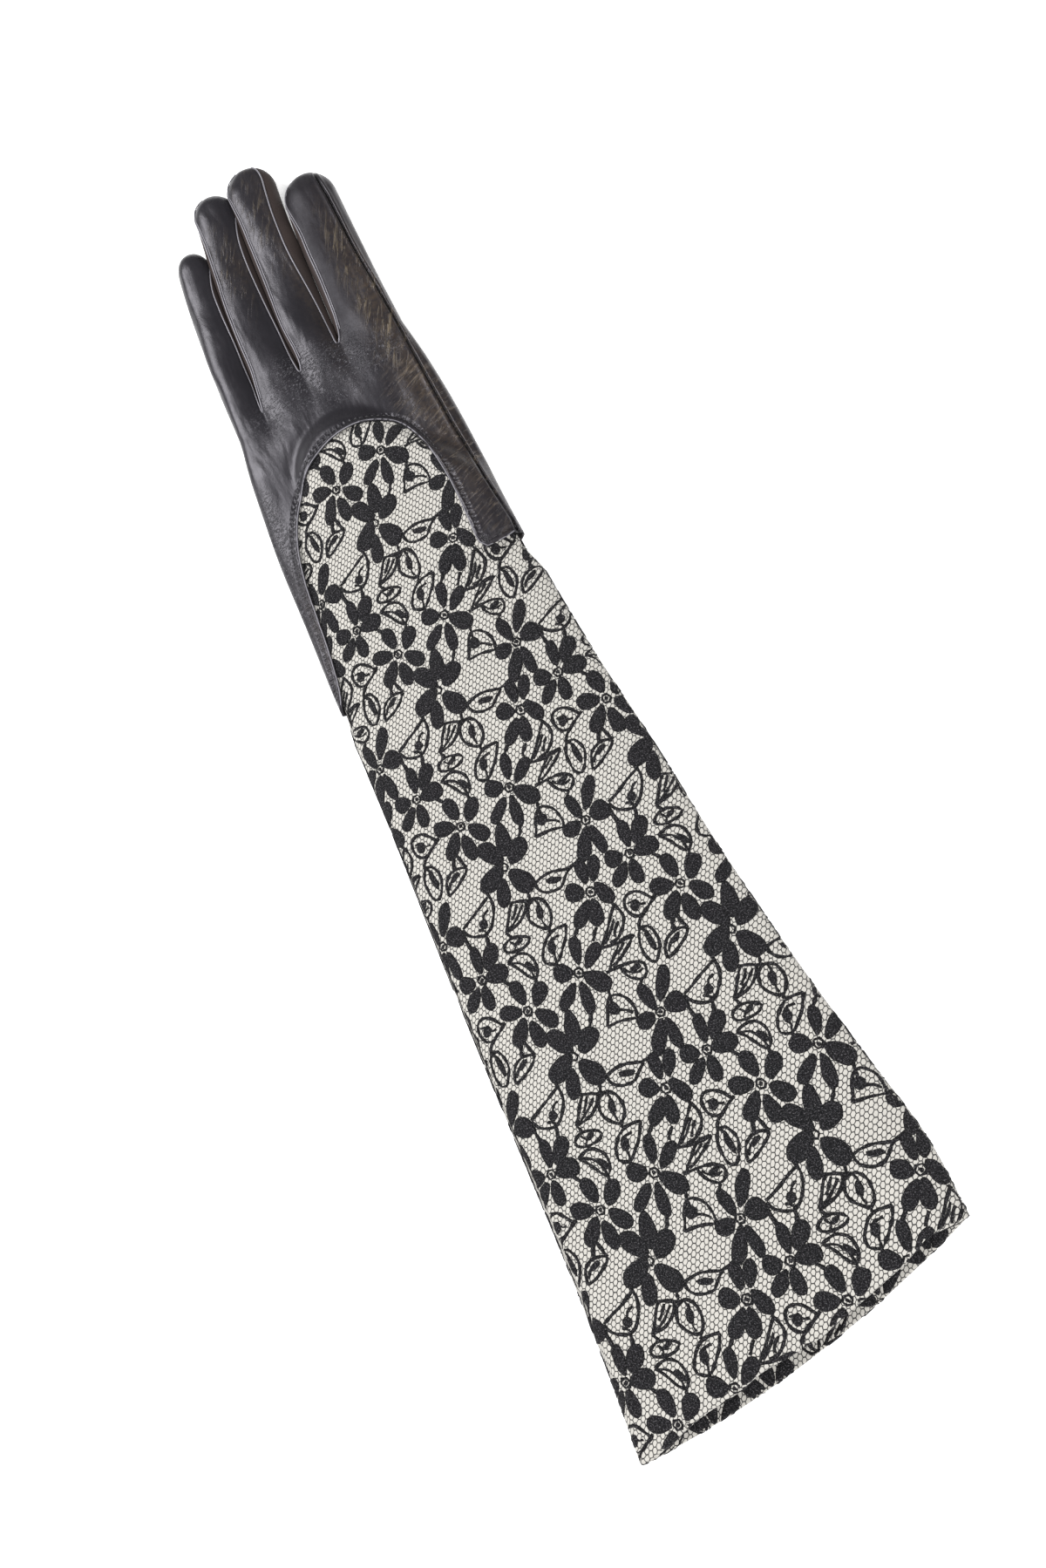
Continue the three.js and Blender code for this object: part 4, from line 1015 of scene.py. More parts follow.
def index_columns(grid, count):
    """Distances along each row of the index finger's back, packed round its long seam, and the seam's own."""
    run = lengths(grid)
    seam_x = np.interp(-grid[:, -1, 1], -INDEX_SEAM[:, 1], INDEX_SEAM[:, 0])
    seam = np.stack([np.interp(x, np.maximum.accumulate(row[:, 0]), r)
                     for x, row, r in zip(seam_x, grid, run)])
    total = run[:, -1]
    seam = np.clip(seam, 0.1 * total, 0.9 * total)
    margin = np.minimum(SEAM_MARGIN, MARGIN_SHARE * (total - seam))
    rest = count - len(SEAM_COLUMNS)
    before = int(round(rest * BEFORE_SEAM))
    wants = np.concatenate([
        np.linspace(0, 1, before, endpoint=False)[None, :] * (seam - margin)[:, None],
        seam[:, None] + SEAM_COLUMNS[None, :] * margin[:, None],
        (seam + margin)[:, None] + np.linspace(0, 1, rest - before + 1)[None, 1:]
        * (total - seam - margin)[:, None],
    ], axis=1)
    return wants, wants - seam[:, None]


FAR = 30.0
grids, seam_away, groove_away = {}, {}, {}
for (layer, n), dense in patches.items():
    count = FINGERS[n]["columns"]
    total = lengths(dense)[:, -1:]
    want = total * np.linspace(0, 1, count)
    groove = np.full(want.shape, FAR)
    if n == 3 and layer == 1:
        want, groove = index_columns(dense, count)
    grid = resample(dense, want)
    tip_x, tip_y, _, _ = finger_axis(FINGERS[n], 1.0)
    grid[-1] = (tip_x, tip_y, FINGERS[n]["thick"] / 2)
    away = np.minimum(want if n > 0 else want + FAR, total - want if n < 3 else total - want + FAR)
    away[:HAND_ROWS - 1] = FAR
    grids[layer, n], seam_away[layer, n], groove_away[layer, n] = grid, away, groove
for layer in (1, -1):
    for n in range(3):
        grids[layer, n][:HAND_ROWS, -1] = grids[layer, n + 1][:HAND_ROWS, 0]


def soft_dents(point):
    """Shallow dents of worn leather: a sum of sines of the plan place, a few millimetres to a few
    centimetres long."""
    x, y = point[..., 0], point[..., 1]
    dents = (1.5 * np.sin(y / 8.0 + 1.6 * np.sin(x / 9.0 + 1.0) + x / 15.0)
             + np.sin(x / 3.7 + 1.7 * np.sin(y / 11.0) + 0.4) * np.sin(y / 8.5 + x / 13.0)
             + 0.7 * np.sin(x / 5.3 - y / 14.0 + 2.0)
             + 0.5 * np.sin(y / 4.1 + 1.3 * np.sin(x / 6.0)) * np.sin(x / 7.0 + y / 19.0))
    return DENT_DEPTH * dents


# The back's relief in millimetres: dents, the rise beside the finger seams, the long seam's groove and the
# rise on both sides of it, the swell over the knuckles, and the valleys that run down from the crotches.
DENT_DEPTH, SEAM_RISE, GROOVE_DEPTH, GROOVE_RISE, KNUCKLE_RISE, VALLEY_DEPTH = 0.21, 0.30, 1.3, 0.45, 0.9, 0.5
VALLEY_LENGTH, VALLEY_WIDTH = 46, 5.5
# How far from the seams the rises stand, how wide they are, and the middle and reach of the knuckles.
SEAM_OUT, SEAM_WIDE, GROOVE_OUT, GROOVE_OUT_WIDE, GROOVE_WIDE = 0.9, 0.55, 1.1, 0.5, 0.42
KNUCKLES_X, KNUCKLES_Y, KNUCKLES_ACROSS, KNUCKLES_ALONG = -3, 397, 13, 11
# The relief turns from straight up to square to the surface over UPRIGHT, and dies out beside the outer
# folds, at the tips (a share of the finger) and, in the valleys, above the crotches. The valleys lean.
UPRIGHT, FOLD_FADE, TIP_FADE, VALLEY_FADE, VALLEY_LEAN = 12, 3.0, 0.06, 15, 0.06
for n in range(4):
    grid, away, groove = grids[1, n], seam_away[1, n], groove_away[1, n]
    s_all, t_all = row_lines[n]
    normal = grid_normals(grid)
    normal *= np.sign(np.mean(normal[..., 2]))
    straight_up = ease((CROTCH_LINE + UPRIGHT - s_all) / UPRIGHT)[:, None, None]
    normal = lerp(normal, np.array([0, 0, 1.0]), straight_up)
    run = lengths(grid)
    from_fold = {0: run, 3: run[:, -1:] - run}.get(n, np.full(run.shape, FAR))
    held = ease(from_fold / FOLD_FADE) * ease((1 - np.clip(t_all, 0, 1))[:, None] / TIP_FADE)
    rise_by = soft_dents(grid) * held
    rise_by += SEAM_RISE * bell((away - SEAM_OUT) / SEAM_WIDE) * held
    rise_by += (GROOVE_RISE * bell((np.abs(groove) - GROOVE_OUT) / GROOVE_OUT_WIDE)
                - GROOVE_DEPTH * bell(groove / GROOVE_WIDE)) * held
    rise_by += (KNUCKLE_RISE * bell((grid[..., 0] - KNUCKLES_X) / KNUCKLES_ACROSS)
                * bell((grid[..., 1] - KNUCKLES_Y) / KNUCKLES_ALONG) * held)
    for gap in GAPS:
        down_line = ease((s_all - (CROTCH_LINE - VALLEY_LENGTH)) / VALLEY_LENGTH)[:, None]
        down_line = down_line * (s_all <= BLEND_TO)[:, None]
        leaning = grid[..., 0] - gap["crotch_x"] + VALLEY_LEAN * (grid[..., 1] - gap["crotch_y"])
        fading = ease((BLEND_TO - s_all) / VALLEY_FADE)[:, None] * held
        rise_by -= VALLEY_DEPTH * bell(leaning / VALLEY_WIDTH) * down_line * fading
    grid += normal * rise_by[..., None]
for n in range(3):
    meet = (grids[1, n][:HAND_ROWS, -1] + grids[1, n + 1][:HAND_ROWS, 0]) / 2
    grids[1, n][:HAND_ROWS, -1] = grids[1, n + 1][:HAND_ROWS, 0] = meet
# The palm side meets the back at the two outer folds, and between the fingers where the tips close.
CLOSED_FROM = 0.945
for n in range(4):
    top, palm, closed = grids[1, n], grids[-1, n], row_lines[n][1] > CLOSED_FROM
    if n == 0:
        palm[:, 0] = top[:, 0]
    if n == 3:
        palm[:, -1] = top[:, -1]
    if n > 0:
        palm[closed, 0] = top[closed, 0]
    if n < 2:
        palm[closed, -1] = top[closed, -1]


def outline_away(outline, points):
    """Signed distance of plan points to a closed outline, less than 0 inside, and the nearest place on it."""
    a = outline
    b = np.roll(outline, -1, axis=0)
    way = b - a
    best = np.full(len(points), 1e9)
    nearest = np.zeros((len(points), 2))
    inside = np.zeros(len(points), bool)
    for p, q, w in zip(a, b, way):
        t = np.clip(((points - p) @ w) / max(w @ w, 1e-12), 0, 1)
        foot = p + t[:, None] * w
        away = np.linalg.norm(points - foot, axis=1)
        closer = away < best
        best[closer], nearest[closer] = away[closer], foot[closer]
        crosses = (p[1] > points[:, 1]) != (q[1] > points[:, 1])
        if w[1] != 0:
            inside ^= crosses & (points[:, 0] < p[0] + (points[:, 1] - p[1]) / w[1] * w[0])
    return np.where(inside, -best, best), nearest


def corner_triangles(quads, corner):
    """The triangle of each quad's other three corners."""
    index = (corner[:, None] + np.array([1, 2, 3])) % 4
    return np.take_along_axis(quads, index, axis=1)


def cut_opening(points, quads, outline, snap=0.55):
    """Faces of a plan grid outside an outline: points near it move onto it, and a face with one corner
    inside keeps the triangle of its other three."""
    away, nearest = outline_away(outline, points[:, :2])
    close = np.abs(away) < snap
    points[close, :2] = nearest[close]
    away[close] = 0
    inside = (away[quads] < 0).sum(axis=1)
    single = quads[inside == 1]
    made = []
    for faces in (quads[inside == 0], corner_triangles(single, np.argmax(away[single] < 0, axis=1))):
        centre_away, _ = outline_away(outline, points[faces].mean(axis=1)[:, :2])
        made.append(faces[(centre_away > 0) & (away[faces] > 0).any(axis=1)])
    return points, *made


arch_curve = spline(ARCH, 160)
back_opening = np.concatenate([[(-95, 262), (-95, 274)], arch_curve, TAB_HEM,
                               [(50, 303.6), (50, 240), (-95, 240)]])
palm_opening = np.concatenate([[(-95, 272)], PALM_HEM, [(60, 304), (60, 240), (-95, 240)]])
thumb_root, thumb_tip = np.array(THUMB["root"], float), np.array(THUMB["tip"], float)
thumb_way = (thumb_tip - thumb_root) / np.linalg.norm(thumb_tip - thumb_root)
thumb_aside = np.array([thumb_way[1], -thumb_way[0]])
HOLE_ALONG, HOLE_LENGTH, HOLE_WIDTH = 0.27, 30.0, 15.0
spin = np.linspace(0, 2 * np.pi, 48, endpoint=False)
hole_middle = thumb_root + (thumb_tip - thumb_root) * HOLE_ALONG
hole_outline = (hole_middle + np.sin(spin)[:, None] * HOLE_LENGTH / 2 * thumb_way
                + np.cos(spin)[:, None] * HOLE_WIDTH / 2 * thumb_aside)

parts = []
for (layer, n), grid in grids.items():
    quads = grid_faces(*grid.shape[:2])
    points = grid.reshape(-1, 3).copy()
    points, quads, tris = cut_opening(points, quads, back_opening if layer == 1 else palm_opening)
    if layer == -1:
        points, quads, more = cut_opening(points, quads, hole_outline)
        quads, tris = quads[:, ::-1], np.concatenate([tris, more])[:, ::-1]
    parts.append((points, quads, tris))
hide_groove = np.concatenate([groove_away[key].ravel() for key in grids])


def welded(points, quads, tris, values=()):
    """One mesh of the parts with points at one place made one; squashed quads become triangles."""
    _, first, which = np.unique(np.round(points * 500).astype(np.int64), axis=0, return_index=True,
                                return_inverse=True)
    which = which.ravel()
    quads, tris = which[quads], which[tris]
    collapsed = np.stack([quads[:, k] == quads[:, (k + 1) % 4] for k in range(4)], axis=1)
    number = collapsed.sum(axis=1)
    folded = corner_triangles(quads[number == 1], np.argmax(collapsed[number == 1], axis=1))
    tris = np.concatenate([tris, folded])
    quads = quads[number == 0]
    quads = quads[(quads[:, 0] != quads[:, 2]) & (quads[:, 1] != quads[:, 3])]
    tris = tris[(tris[:, 0] != tris[:, 1]) & (tris[:, 1] != tris[:, 2]) & (tris[:, 0] != tris[:, 2])]
    used, quads, tris = used_only(len(first), quads, tris)
    return points[first][used], quads, tris, [v[first][used] for v in values]


hide_points, hide_quads, hide_tris, (hide_groove,) = welded(*joined(parts), (hide_groove,))
edge_away, _ = outline_away(back_opening, hide_points[:, :2])
hide_edge = np.where(hide_points[:, 2] > 5, np.minimum(edge_away, FAR), FAR)
near_edge = hide_edge < 8
steps_away = np.linalg.norm(hide_points[:, None, :2][near_edge] - back_opening[None], axis=2)
hide_run = np.zeros(len(hide_points))
hide_run[near_edge] = lengths(back_opening)[np.argmin(steps_away, axis=1)]


def strokes(tree, place, stretch, turn_by, low, high):
    """Short soft strokes where a stretched noise stands above a level: 0 at low, 1 at high."""
    turned = add_node(tree, "VectorRotate", {"Vector": place, "Angle": turn_by}, rotation_type="Z_AXIS")
    drawn = vector_calc(tree, "MULTIPLY", turned.outputs[0], stretch)
    return ramp(tree, noise(tree, drawn, 1.0, 3.0, Roughness=0.6, Distortion=0.6), low, high)


def bumped(tree, height, distance, normal=None, strength=1.0, invert=False):
    """The surface's normal with a relief of this height in metres."""
    inputs = {"Strength": strength, "Distance": distance, "Height": height}
    if normal:
        inputs["Normal"] = normal
    return add_node(tree, "Bump", inputs, invert=invert).outputs[0]


def value_of(tree, name):
    """A named value of the mesh's points."""
    return add_node(tree, "Attribute", attribute_name=name).outputs["Fac"]


def hide_marks(tree, place, uneven, colour, normal):
    """The hide's marks: browner places, painted as a warm reflection, the seam's groove with painted shade in
    it, its crinkles with painted highlights along them, creases and scratches, and the puckers along its
    stitched hem. Gives the colour and the normal."""
    amount = calc(tree, "MULTIPLY", value_of(tree, "warm"), ramp(tree, uneven, 0.3, 0.7, kind="LINEAR"))
    colour = mixed(tree, amount, colour, LEATHER_WARM_REFLECTION)
    groove_shade_amount = ramp(tree, value_of(tree, "groove"), 0.25, 0.75, 0.85, 0.0, kind="LINEAR")
    colour = mixed(tree, groove_shade_amount, colour, GROOVE_SHADE)
    for mark, stretch, lean, low, high, line_colour, strength, depth in LEATHER_MARKS:
        lines = strokes(tree, place, stretch, lean, low, high)
        held = calc(tree, "MULTIPLY", lines, value_of(tree, mark))
        colour = mixed(tree, calc(tree, "MULTIPLY", held, strength), colour, line_colour)
        normal = bumped(tree, held, depth, normal)
    edge = value_of(tree, "hem")
    ripple = calc(tree, "SINE", calc(tree, "MULTIPLY", value_of(tree, "hem_run"), 2 * np.pi / STITCH_PITCH))
    dip = ramp(tree, edge, STITCH_INSET - 1.0, STITCH_INSET)
    lift = ramp(tree, edge, STITCH_INSET, STITCH_INSET + 1.6, 1.0, 0.0)
    puckers = calc(tree, "MULTIPLY_ADD", ripple, 0.45, 0.7)
    stitched = calc(tree, "MULTIPLY", calc(tree, "MULTIPLY", dip, lift), puckers)
    return colour, bumped(tree, stitched, PUCKER_DEPTH, normal, invert=True)


def leather_material(name, dark, light, marks=True, gloss=0.34, rough=(0.30, 0.42)):
    """Smooth kid leather: near-black with a faint uneven brown, fine pebbled grain, soft sheen, and where
    the piece carries them its marks and its duller places. Among the marks the warm brown is a painted
    reflection, the groove's black is painted shade and the crinkles' light lines are painted highlights."""
    material, tree, shader = new_material(name, {
        "Specular IOR Level": gloss, "Specular Tint": (0.95, 0.92, 1.0, 1), "Sheen Weight": 0.02,
        "Sheen Roughness": 0.4, "Coat Weight": COAT, "Coat Roughness": 0.25,
    })
    place = add_node(tree, "TexCoord").outputs["Object"]
    place = vector_calc(tree, "MULTIPLY", place, (1 / MM, 1 / MM, 1 / MM))
    fine = noise(tree, place, 0.5, 4.0, Roughness=0.65)
    pores = add_node(tree, "TexVoronoi", {"Vector": place, "Scale": 1.5}).outputs["Distance"]
    colour = mixed(tree, noise(tree, place, 0.045, 4.0, Roughness=0.6), dark, light)
    normal = bumped(tree, calc(tree, "MULTIPLY_ADD", pores, 0.35, fine), 0.0002, strength=0.24)
    drawn = vector_calc(tree, "MULTIPLY", place, (0.12, 0.045, 0.09))
    normal = bumped(tree, noise(tree, drawn, 1.0, 2.5, Roughness=0.45, Distortion=0.3), FOLD_DEPTH, normal)
    rubbed = calc(tree, "ADD", fine, noise(tree, place, 0.16, 2.0, Roughness=0.5))
    roughness = ramp(tree, rubbed, 0.7, 1.3, *rough, kind="LINEAR")
    if marks:
        colour, normal = hide_marks(tree, place, fine, colour, normal)
        dull = value_of(tree, "dull")
        roughness = calc(tree, "MULTIPLY_ADD", dull, 0.10, roughness)
        for key, full, least in (("Specular IOR Level", gloss, gloss * 0.25), ("Coat Weight", COAT, 0.0)):
            tree.links.new(ramp(tree, dull, 0.0, 1.0, full, least, kind="LINEAR"), shader.inputs[key])
    for key, value in (("Base Color", colour), ("Roughness", roughness), ("Normal", normal)):
        tree.links.new(value, shader.inputs[key])
    return material


STITCH_PITCH, STITCH_INSET = 2.1, 1.9
COAT, FOLD_DEPTH, PUCKER_DEPTH = 0.04, 0.0010, 0.0004
LEATHER_DARK, LEATHER_LIGHT = (0.0100, 0.0095, 0.0115, 1), (0.0180, 0.0166, 0.0200, 1)
# The brown here is a painted warm reflection, and the groove's near-black is painted shade.
LEATHER_WARM_REFLECTION, GROOVE_SHADE = (0.040, 0.029, 0.021, 1), (0.002, 0.002, 0.002, 1)
# Marks in the leather: the point value that places them, how their lines are drawn out per millimetre and
# turned, how wide they are, their colour, how much of it shows, and their height in metres.
LEATHER_MARKS = [
    # The wrinkles' light bluish lines are painted highlights on the crinkles' ridges; their relief is real.
    ("wrinkle", (0.85, 1.45, 0.7), -0.45, 0.49, 0.68, (0.190, 0.184, 0.204, 1), 0.50, 0.0004),
    ("crease", (0.85, 0.11, 0.3), 0.45, 0.50, 0.70, (0.185, 0.148, 0.100, 1), 0.70, 0.0005),
    ("scratch", (0.13, 0.90, 0.3), -0.45, 0.50, 0.72, (0.150, 0.118, 0.085, 1), 0.60, 0.0003),
]
hide_look = leather_material("black_kid_leather", LEATHER_DARK, LEATHER_LIGHT)

# Where the leather is crinkled (with painted highlights), creased, scratched, browner (a painted warm
# reflection) and duller: middle, reach and strength.
MARKED_PLACES = {
    "wrinkle": [(-8, 398, 14, 9, 1.0), (-19, 400, 6, 9, 1.0), (3, 399, 7, 7, 0.9), (16.8, 395.6, 8, 4, 0.9),
                (-36, 391, 5, 7, 0.5), (-52, 335, 4, 15, 0.9), (-50, 353, 4, 12, 0.6),
                (-54, 316, 4, 14, 0.8)],
    "crease": [(18, 438, 4, 16, 0.8), (21, 412, 5, 18, 1.0), (19, 396, 6, 8, 0.5), (-24, 456, 5, 14, 0.5),
               (-5, 470, 6, 18, 0.35)],
    "scratch": [(24.8, 363, 7, 12, 1.0), (26.5, 342, 7, 14, 1.0), (28, 322, 6, 14, 0.7),
                (18.7, 375, 7, 9, 0.8), (23, 386, 8, 10, 0.6)],
    "warm": [(21, 425, 7, 34, 0.9), (24, 375, 8, 28, 0.8), (27, 340, 6, 30, 0.6), (0, 445, 4, 40, 0.7),
             (-20, 455, 5, 12, 0.4), (-50, 300, 4, 26, 0.5)],
    "dull": [(12, 448, 9, 36, 1.0), (7, 415, 5, 14, 0.5), (-1, 377, 12, 7, 0.5), (-55, 330, 5, 30, 0.35)],
}


def strength_at(places, points):
    """How strongly the marked places show at each point."""
    x, y = points[:, 0], points[:, 1]
    total = sum(k * bell((x - px) / rx) * bell((y - py) / ry) for px, py, rx, ry, k in places)
    return np.clip(total, 0, 1)


def give_wall(made, thickness):
    """A hide's thickness, laid on the inside."""
    wall = made.modifiers.new("wall", "SOLIDIFY")
    wall.thickness, wall.offset = thickness * MM, -1


hide_values = {"groove": np.abs(hide_groove), "hem": hide_edge, "hem_run": hide_run}
hide_values.update((mark, strength_at(places, hide_points)) for mark, places in MARKED_PLACES.items())
hide = mesh_object("leather_hand", hide_points, hide_quads, hide_look, tris=hide_tris,
                   point_values=hide_values)
give_wall(hide, HIDE_WALL)
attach(hide, "root")
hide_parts("hand_trank")

# ---- Side strips -----------------------------------------------------------------------------------
# Three fourchettes of thinner, browner and duller hide, their colour lightened as a painted sheen, each one
# strip that runs down one finger, through the crotch and up the next. Their edges are closed in the seams.

STRIP_COLUMNS = 15
# The strips puff out to meet each other by up to PUFF over this length, and are a plain web at the crotch.
PUFF, PUFF_END, PUFF_FADE, PUFF_FREE, WEB_REACH, WEB_SAG = 2.2, 62.0, 14, 0.05, 7.0, 1.2
# The strips' colours are lifted above the hide's as a painted sheen.
STRIP_DARK, STRIP_LIGHT = (0.024, 0.020, 0.020, 1), (0.050, 0.037, 0.033, 1)
strip_look = leather_material("side_leather", STRIP_DARK, STRIP_LIGHT, marks=False, gloss=0.12,
                              rough=(0.50, 0.62))
STRIP_NAMES = ("fourchette_ring_little", "fourchette_middle_ring", "fourchette_index_middle")
v = np.linspace(0, 1, STRIP_COLUMNS)


def strip_side(n, gap, right_side):
    """One half of a side strip: rows from the crotch to the fingertip, across from the top seam to the
    bottom one, following the finger's round side; at the crotch it is a plain web."""
    finger = FINGERS[n]
    s_up, t_up = (values[HAND_ROWS - 1:] for values in row_lines[n])
    column = -1 if right_side else 0
    top, bottom = (grids[layer, n][HAND_ROWS - 1:, column] for layer in (1, -1))
    t = np.clip(t_up, 0, 1)
    angle = seam_angle(finger, t, gap, "left" if right_side else "right")
    turn_by = lerp(angle[:, None], -angle[:, None], v[None, :])
    turn_by = turn_by if right_side else np.pi - turn_by
    side = finger_point(finger, t[:, None], turn_by)
    side += lerp((top - side[:, 0])[:, None], (bottom - side[:, -1])[:, None], v[None, :, None])
    web = lerp(top[:, None], bottom[:, None], v[None, :, None])
    into = ease((s_up - CROTCH_LINE) / WEB_REACH)[:, None, None]
    return lerp(web, side, into), s_up - CROTCH_LINE


for n, (gap, name) in enumerate(zip(GAPS, STRIP_NAMES)):
    (left_side, left_up), (right_side, right_up) = strip_side(n, gap, True), strip_side(n + 1, gap, False)
    middle = STRIP_COLUMNS // 2
    facing = np.stack([np.interp(left_up, right_up, right_side[:, middle, k]) for k in range(3)], axis=1)
    between = facing[:, :2] - left_side[:, middle, :2]
    width = np.linalg.norm(between, axis=1)
    swell = (np.minimum(width / 2 - PUFF_FREE, PUFF) * ease((PUFF_END - left_up) / PUFF_FADE))[:, None]
    toward = between / np.maximum(width, 1e-6)[:, None]
    for side, up, sign in ((left_side, left_up, 1), (right_side, right_up, -1)):
        push = np.stack([np.interp(up, left_up, (swell * toward)[:, k]) for k in range(2)], axis=1)
        side[..., :2] += sign * push[:, None] * (np.sin(np.pi * v) ** 0.6)[None, :, None]
    strip = np.concatenate([left_side[::-1], right_side[1:]])
    strip[len(left_side) - 1, :, 1] -= WEB_SAG * np.sin(np.pi * v)
    quads = grid_faces(len(strip), STRIP_COLUMNS)
    points, quads, tris, _ = welded(strip.reshape(-1, 3), quads, np.zeros((0, 3), int))
    made = mesh_object(name + "_strip", points, quads[:, ::-1], strip_look, tris=tris[:, ::-1])
    give_wall(made, HIDE_WALL)
    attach(made, "root")
    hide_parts(name)

# ---- Thumb -----------------------------------------------------------------------------------------
# The set-in thumb of the same hide, folded flat under the palm and sewn into its hole. The photo hides it,
# so it is a plain flat sack, open into the hand on its upper side.

THUMB_WALL, THUMB_POWER, THUMB_END_ROWS, THUMB_ROWS, THUMB_COLUMNS = 0.8, 2 / 2.6, 12, 46, 56
thumb_length = float(np.linalg.norm(thumb_tip - thumb_root))
ends = THUMB["rounding"]
round_off = ends * (1 - np.sin(np.linspace(np.pi / 2, 0, THUMB_END_ROWS)))
run_down = np.concatenate([round_off[:-1], np.linspace(ends, thumb_length - ends, THUMB_ROWS),
                           thumb_length - round_off[:-1][::-1]])
spin = np.linspace(0, 2 * np.pi, THUMB_COLUMNS, endpoint=False)
from_end = np.minimum(run_down, thumb_length - run_down)
into = np.clip((ends - from_end) / ends, 0, 1)
share = np.sqrt(np.maximum(1 - into ** 2, 0.0004))
half_width = lerp(THUMB["root_width"], THUMB["tip_width"], run_down / thumb_length) / 2 * share
side = sharpen(np.cos(spin), THUMB_POWER)[None, :] * half_width[:, None]
up = sharpen(np.sin(spin), THUMB_POWER)[None, :] * THUMB["swell"] * (share ** 0.6)[:, None]
z = np.clip(THUMB["height"] / 2 + up, 0, THUMB["height"])
plan = thumb_root + run_down[:, None, None] * thumb_way + side[..., None] * thumb_aside
end_middles = [[*(thumb_root + d * thumb_way), THUMB["height"] / 2] for d in (0.0, thumb_length)]
thumb_points = np.concatenate([np.concatenate([plan, z[..., None]], axis=-1).reshape(-1, 3), end_middles])
around = len(spin)
thumb_quads = grid_faces(len(run_down), around, wrap_columns=True)
first_end = len(run_down) * around
k = np.arange(around)
after = (k + 1) % around
last_row = first_end - around
end_tris = np.concatenate([np.stack([after, k, np.full(around, first_end)], 1),
                           np.stack([last_row + k, last_row + after, np.full(around, first_end + 1)], 1)])
upper = thumb_points[thumb_quads].mean(axis=1)[:, 2] > THUMB["height"] / 2
thumb_points, upper_quads, upper_tris = cut_opening(thumb_points, thumb_quads[upper], hole_outline)
thumb_quads = np.concatenate([thumb_quads[~upper], upper_quads])[:, ::-1]
thumb = mesh_object("leather_thumb", thumb_points, thumb_quads, hide_look,
                    tris=np.concatenate([end_tris, upper_tris])[:, ::-1])
give_wall(thumb, THUMB_WALL)
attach(thumb, "root")
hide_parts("thumb")

# ---- Turned edges, seam ridges and stitches --------------------------------------------------------
# The folded edge of the arch and the tab on the back, the thin ridges of the finger seams, and the
# topstitching that holds that edge down. The edge and the ridges are drawn light grey, a painted highlight.


def sweep(curve, radius, sides):
    """A round cord along a curve of points, closed at both ends."""
    way = np.gradient(curve, axis=0)
    way /= np.maximum(np.linalg.norm(way, axis=1), 1e-9)[:, None]
    aside = np.cross(way, (0, 0, 1.0))
    aside /= np.maximum(np.linalg.norm(aside, axis=1), 1e-9)[:, None]
    over = np.cross(aside, way)
    spin = np.linspace(0, 2 * np.pi, sides, endpoint=False)
    ring = curve[:, None] + radius * (np.cos(spin)[None, :, None] * aside[:, None]
                                      + np.sin(spin)[None, :, None] * over[:, None])
    quads = grid_faces(len(curve), sides, wrap_columns=True)
    k = np.arange(1, sides - 1)
    last = (len(curve) - 1) * sides
    tris = np.concatenate([np.stack([np.zeros_like(k), k + 1, k], 1),
                           np.stack([last + 0 * k, last + k, last + k + 1], 1)])
    return ring.reshape(-1, 3), quads[:, ::-1], tris[:, ::-1]


top_hand = np.concatenate([grids[1, n][:HAND_ROWS, (0 if n == 0 else 1):] for n in range(4)], axis=1)
hand_normals = grid_normals(top_hand)
hand_normals *= np.sign(np.mean(hand_normals[..., 2]))


def on_hand(plan, depth):
    """Plan places put on the back of the hand, this deep under its surface, and the normals there."""
    place = locate(top_hand[..., :2], plan)
    normal = sample(hand_normals, place)
    normal /= np.linalg.norm(normal, axis=1)[:, None]
    return sample(top_hand, place) - normal * depth, normal


def moved_out(curve, distance):
    """A plan curve moved sideways to its left."""
    way = np.gradient(curve, axis=0)
    way /= np.linalg.norm(way, axis=1)[:, None]
    return curve + distance * np.stack([-way[:, 1], way[:, 0]], axis=1)


EDGE_RADIUS, EDGE_IN = 0.27, 0.22
# The edge colours are a painted highlight: the turned edge and the seam ridges are of the black hide.
EDGE_DARK, EDGE_LIGHT = (0.110, 0.106, 0.118, 1), (0.200, 0.194, 0.214, 1)
edge_plan = even(np.concatenate([arch_curve[3:], TAB_HEM[:-1], [(27.0, 305.3), (31.6, 306.4)]]), 380)
edge_points, _ = on_hand(moved_out(edge_plan, EDGE_IN), EDGE_RADIUS * 0.5)
edge_points, edge_quads, edge_tris = sweep(edge_points, EDGE_RADIUS, 8)
edge_highlight_look = leather_material("edge_painted_highlight", EDGE_DARK, EDGE_LIGHT, marks=False, gloss=0.5, rough=(0.28, 0.40))
edges = mesh_object("turned_edge", edge_points, edge_quads, edge_highlight_look, tris=edge_tris)
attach(edges, "root")

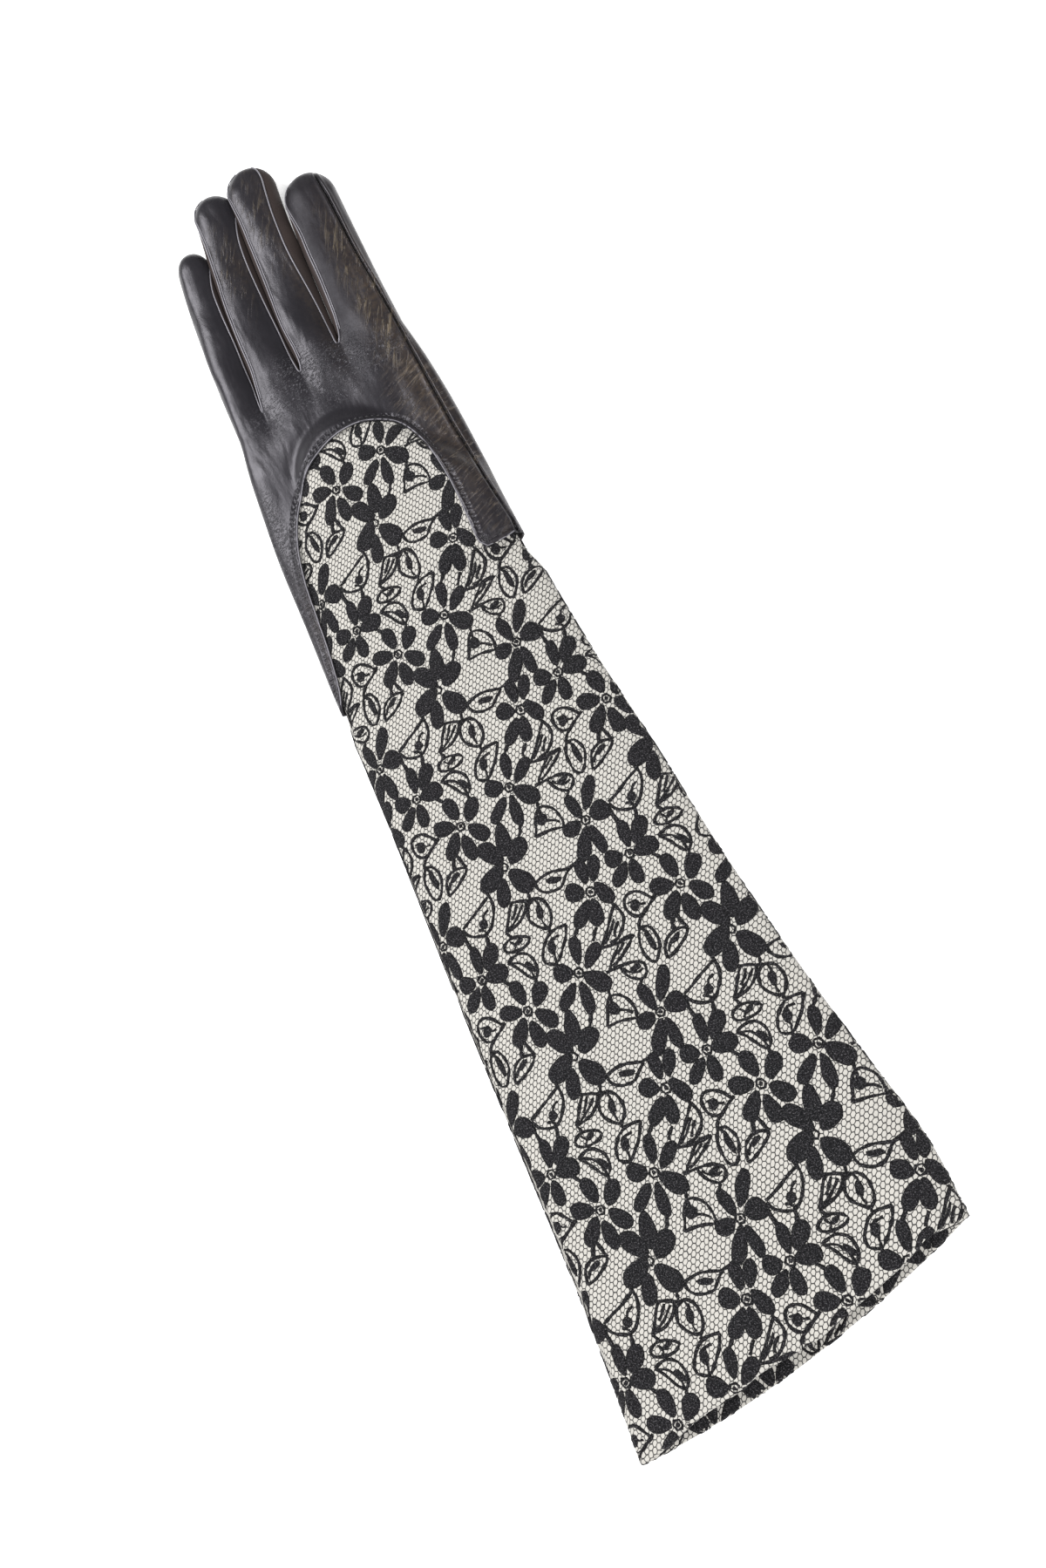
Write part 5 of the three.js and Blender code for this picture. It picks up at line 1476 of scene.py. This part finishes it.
# Ridges stand this much over the seams; a second, thinner one runs inside each finger's left seam.
RIDGE_RADIUS, RIDGE_LIFT, SECOND_RIDGE, SECOND_LIFT, SECOND_SIZE = 0.32, 0.16, 1.25, 0.14, 0.75


def smoothed(values, reach=6):
    """A running mean over a few rows, with the ends held."""
    held = np.pad(values, reach, mode="edge")
    return np.convolve(held, np.full(2 * reach + 1, 1 / (2 * reach + 1)), mode="valid")


ridges = []
for n in range(4):
    rows = grids[1, n][HAND_ROWS - 1:-4]
    for column, wanted in ((0, n > 0), (-1, n < 3)):
        if wanted:
            ridges.append(sweep(rows[:, column] + (0, 0, RIDGE_LIFT), RIDGE_RADIUS, 6))
    if n > 0:
        inner_line = resample(rows[3:], np.full((len(rows) - 3, 1), SECOND_RIDGE))[:, 0]
        inner_line[:, 2] = smoothed(inner_line[:, 2]) + SECOND_LIFT
        ridges.append(sweep(inner_line, RIDGE_RADIUS * SECOND_SIZE, 6))
ridge_points, ridge_quads, ridge_tris = joined(ridges)
# The ridges take the edge's light grey, a painted highlight.
seam_ridges = mesh_object("seam_ridges", ridge_points, ridge_quads, edge_highlight_look, tris=ridge_tris)
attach(seam_ridges, "root")

STITCH_LENGTH, STITCH_RADIUS, FIRST_STITCH, PAST_LAST = 1.05, 0.11, 1.5, 2
STITCH_ARC = np.array([-0.16, 0.05, 0.1, 0.05, -0.16])
stitch_plan = even(moved_out(edge_plan, STITCH_INSET), 2400)
stitch_run = lengths(stitch_plan)
stitches = []
for start in np.arange(FIRST_STITCH, stitch_run[-1] - PAST_LAST, STITCH_PITCH):
    want = np.linspace(start, start + STITCH_LENGTH, len(STITCH_ARC))
    plan = np.stack([np.interp(want, stitch_run, stitch_plan[:, k]) for k in range(2)], axis=1)
    points, normal = on_hand(plan, 0.0)
    stitches.append(sweep(points + normal * STITCH_ARC[:, None], STITCH_RADIUS, 6))
stitch_points, stitch_quads, stitch_tris = joined(stitches)
thread_look, _, _ = new_material("stitch_thread", {
    "Base Color": (0.045, 0.043, 0.047, 1), "Roughness": 0.5, "Sheen Weight": 0.1,
})
stitching = mesh_object("stitching", stitch_points, stitch_quads, thread_look, tris=stitch_tris)
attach(stitching, "root")
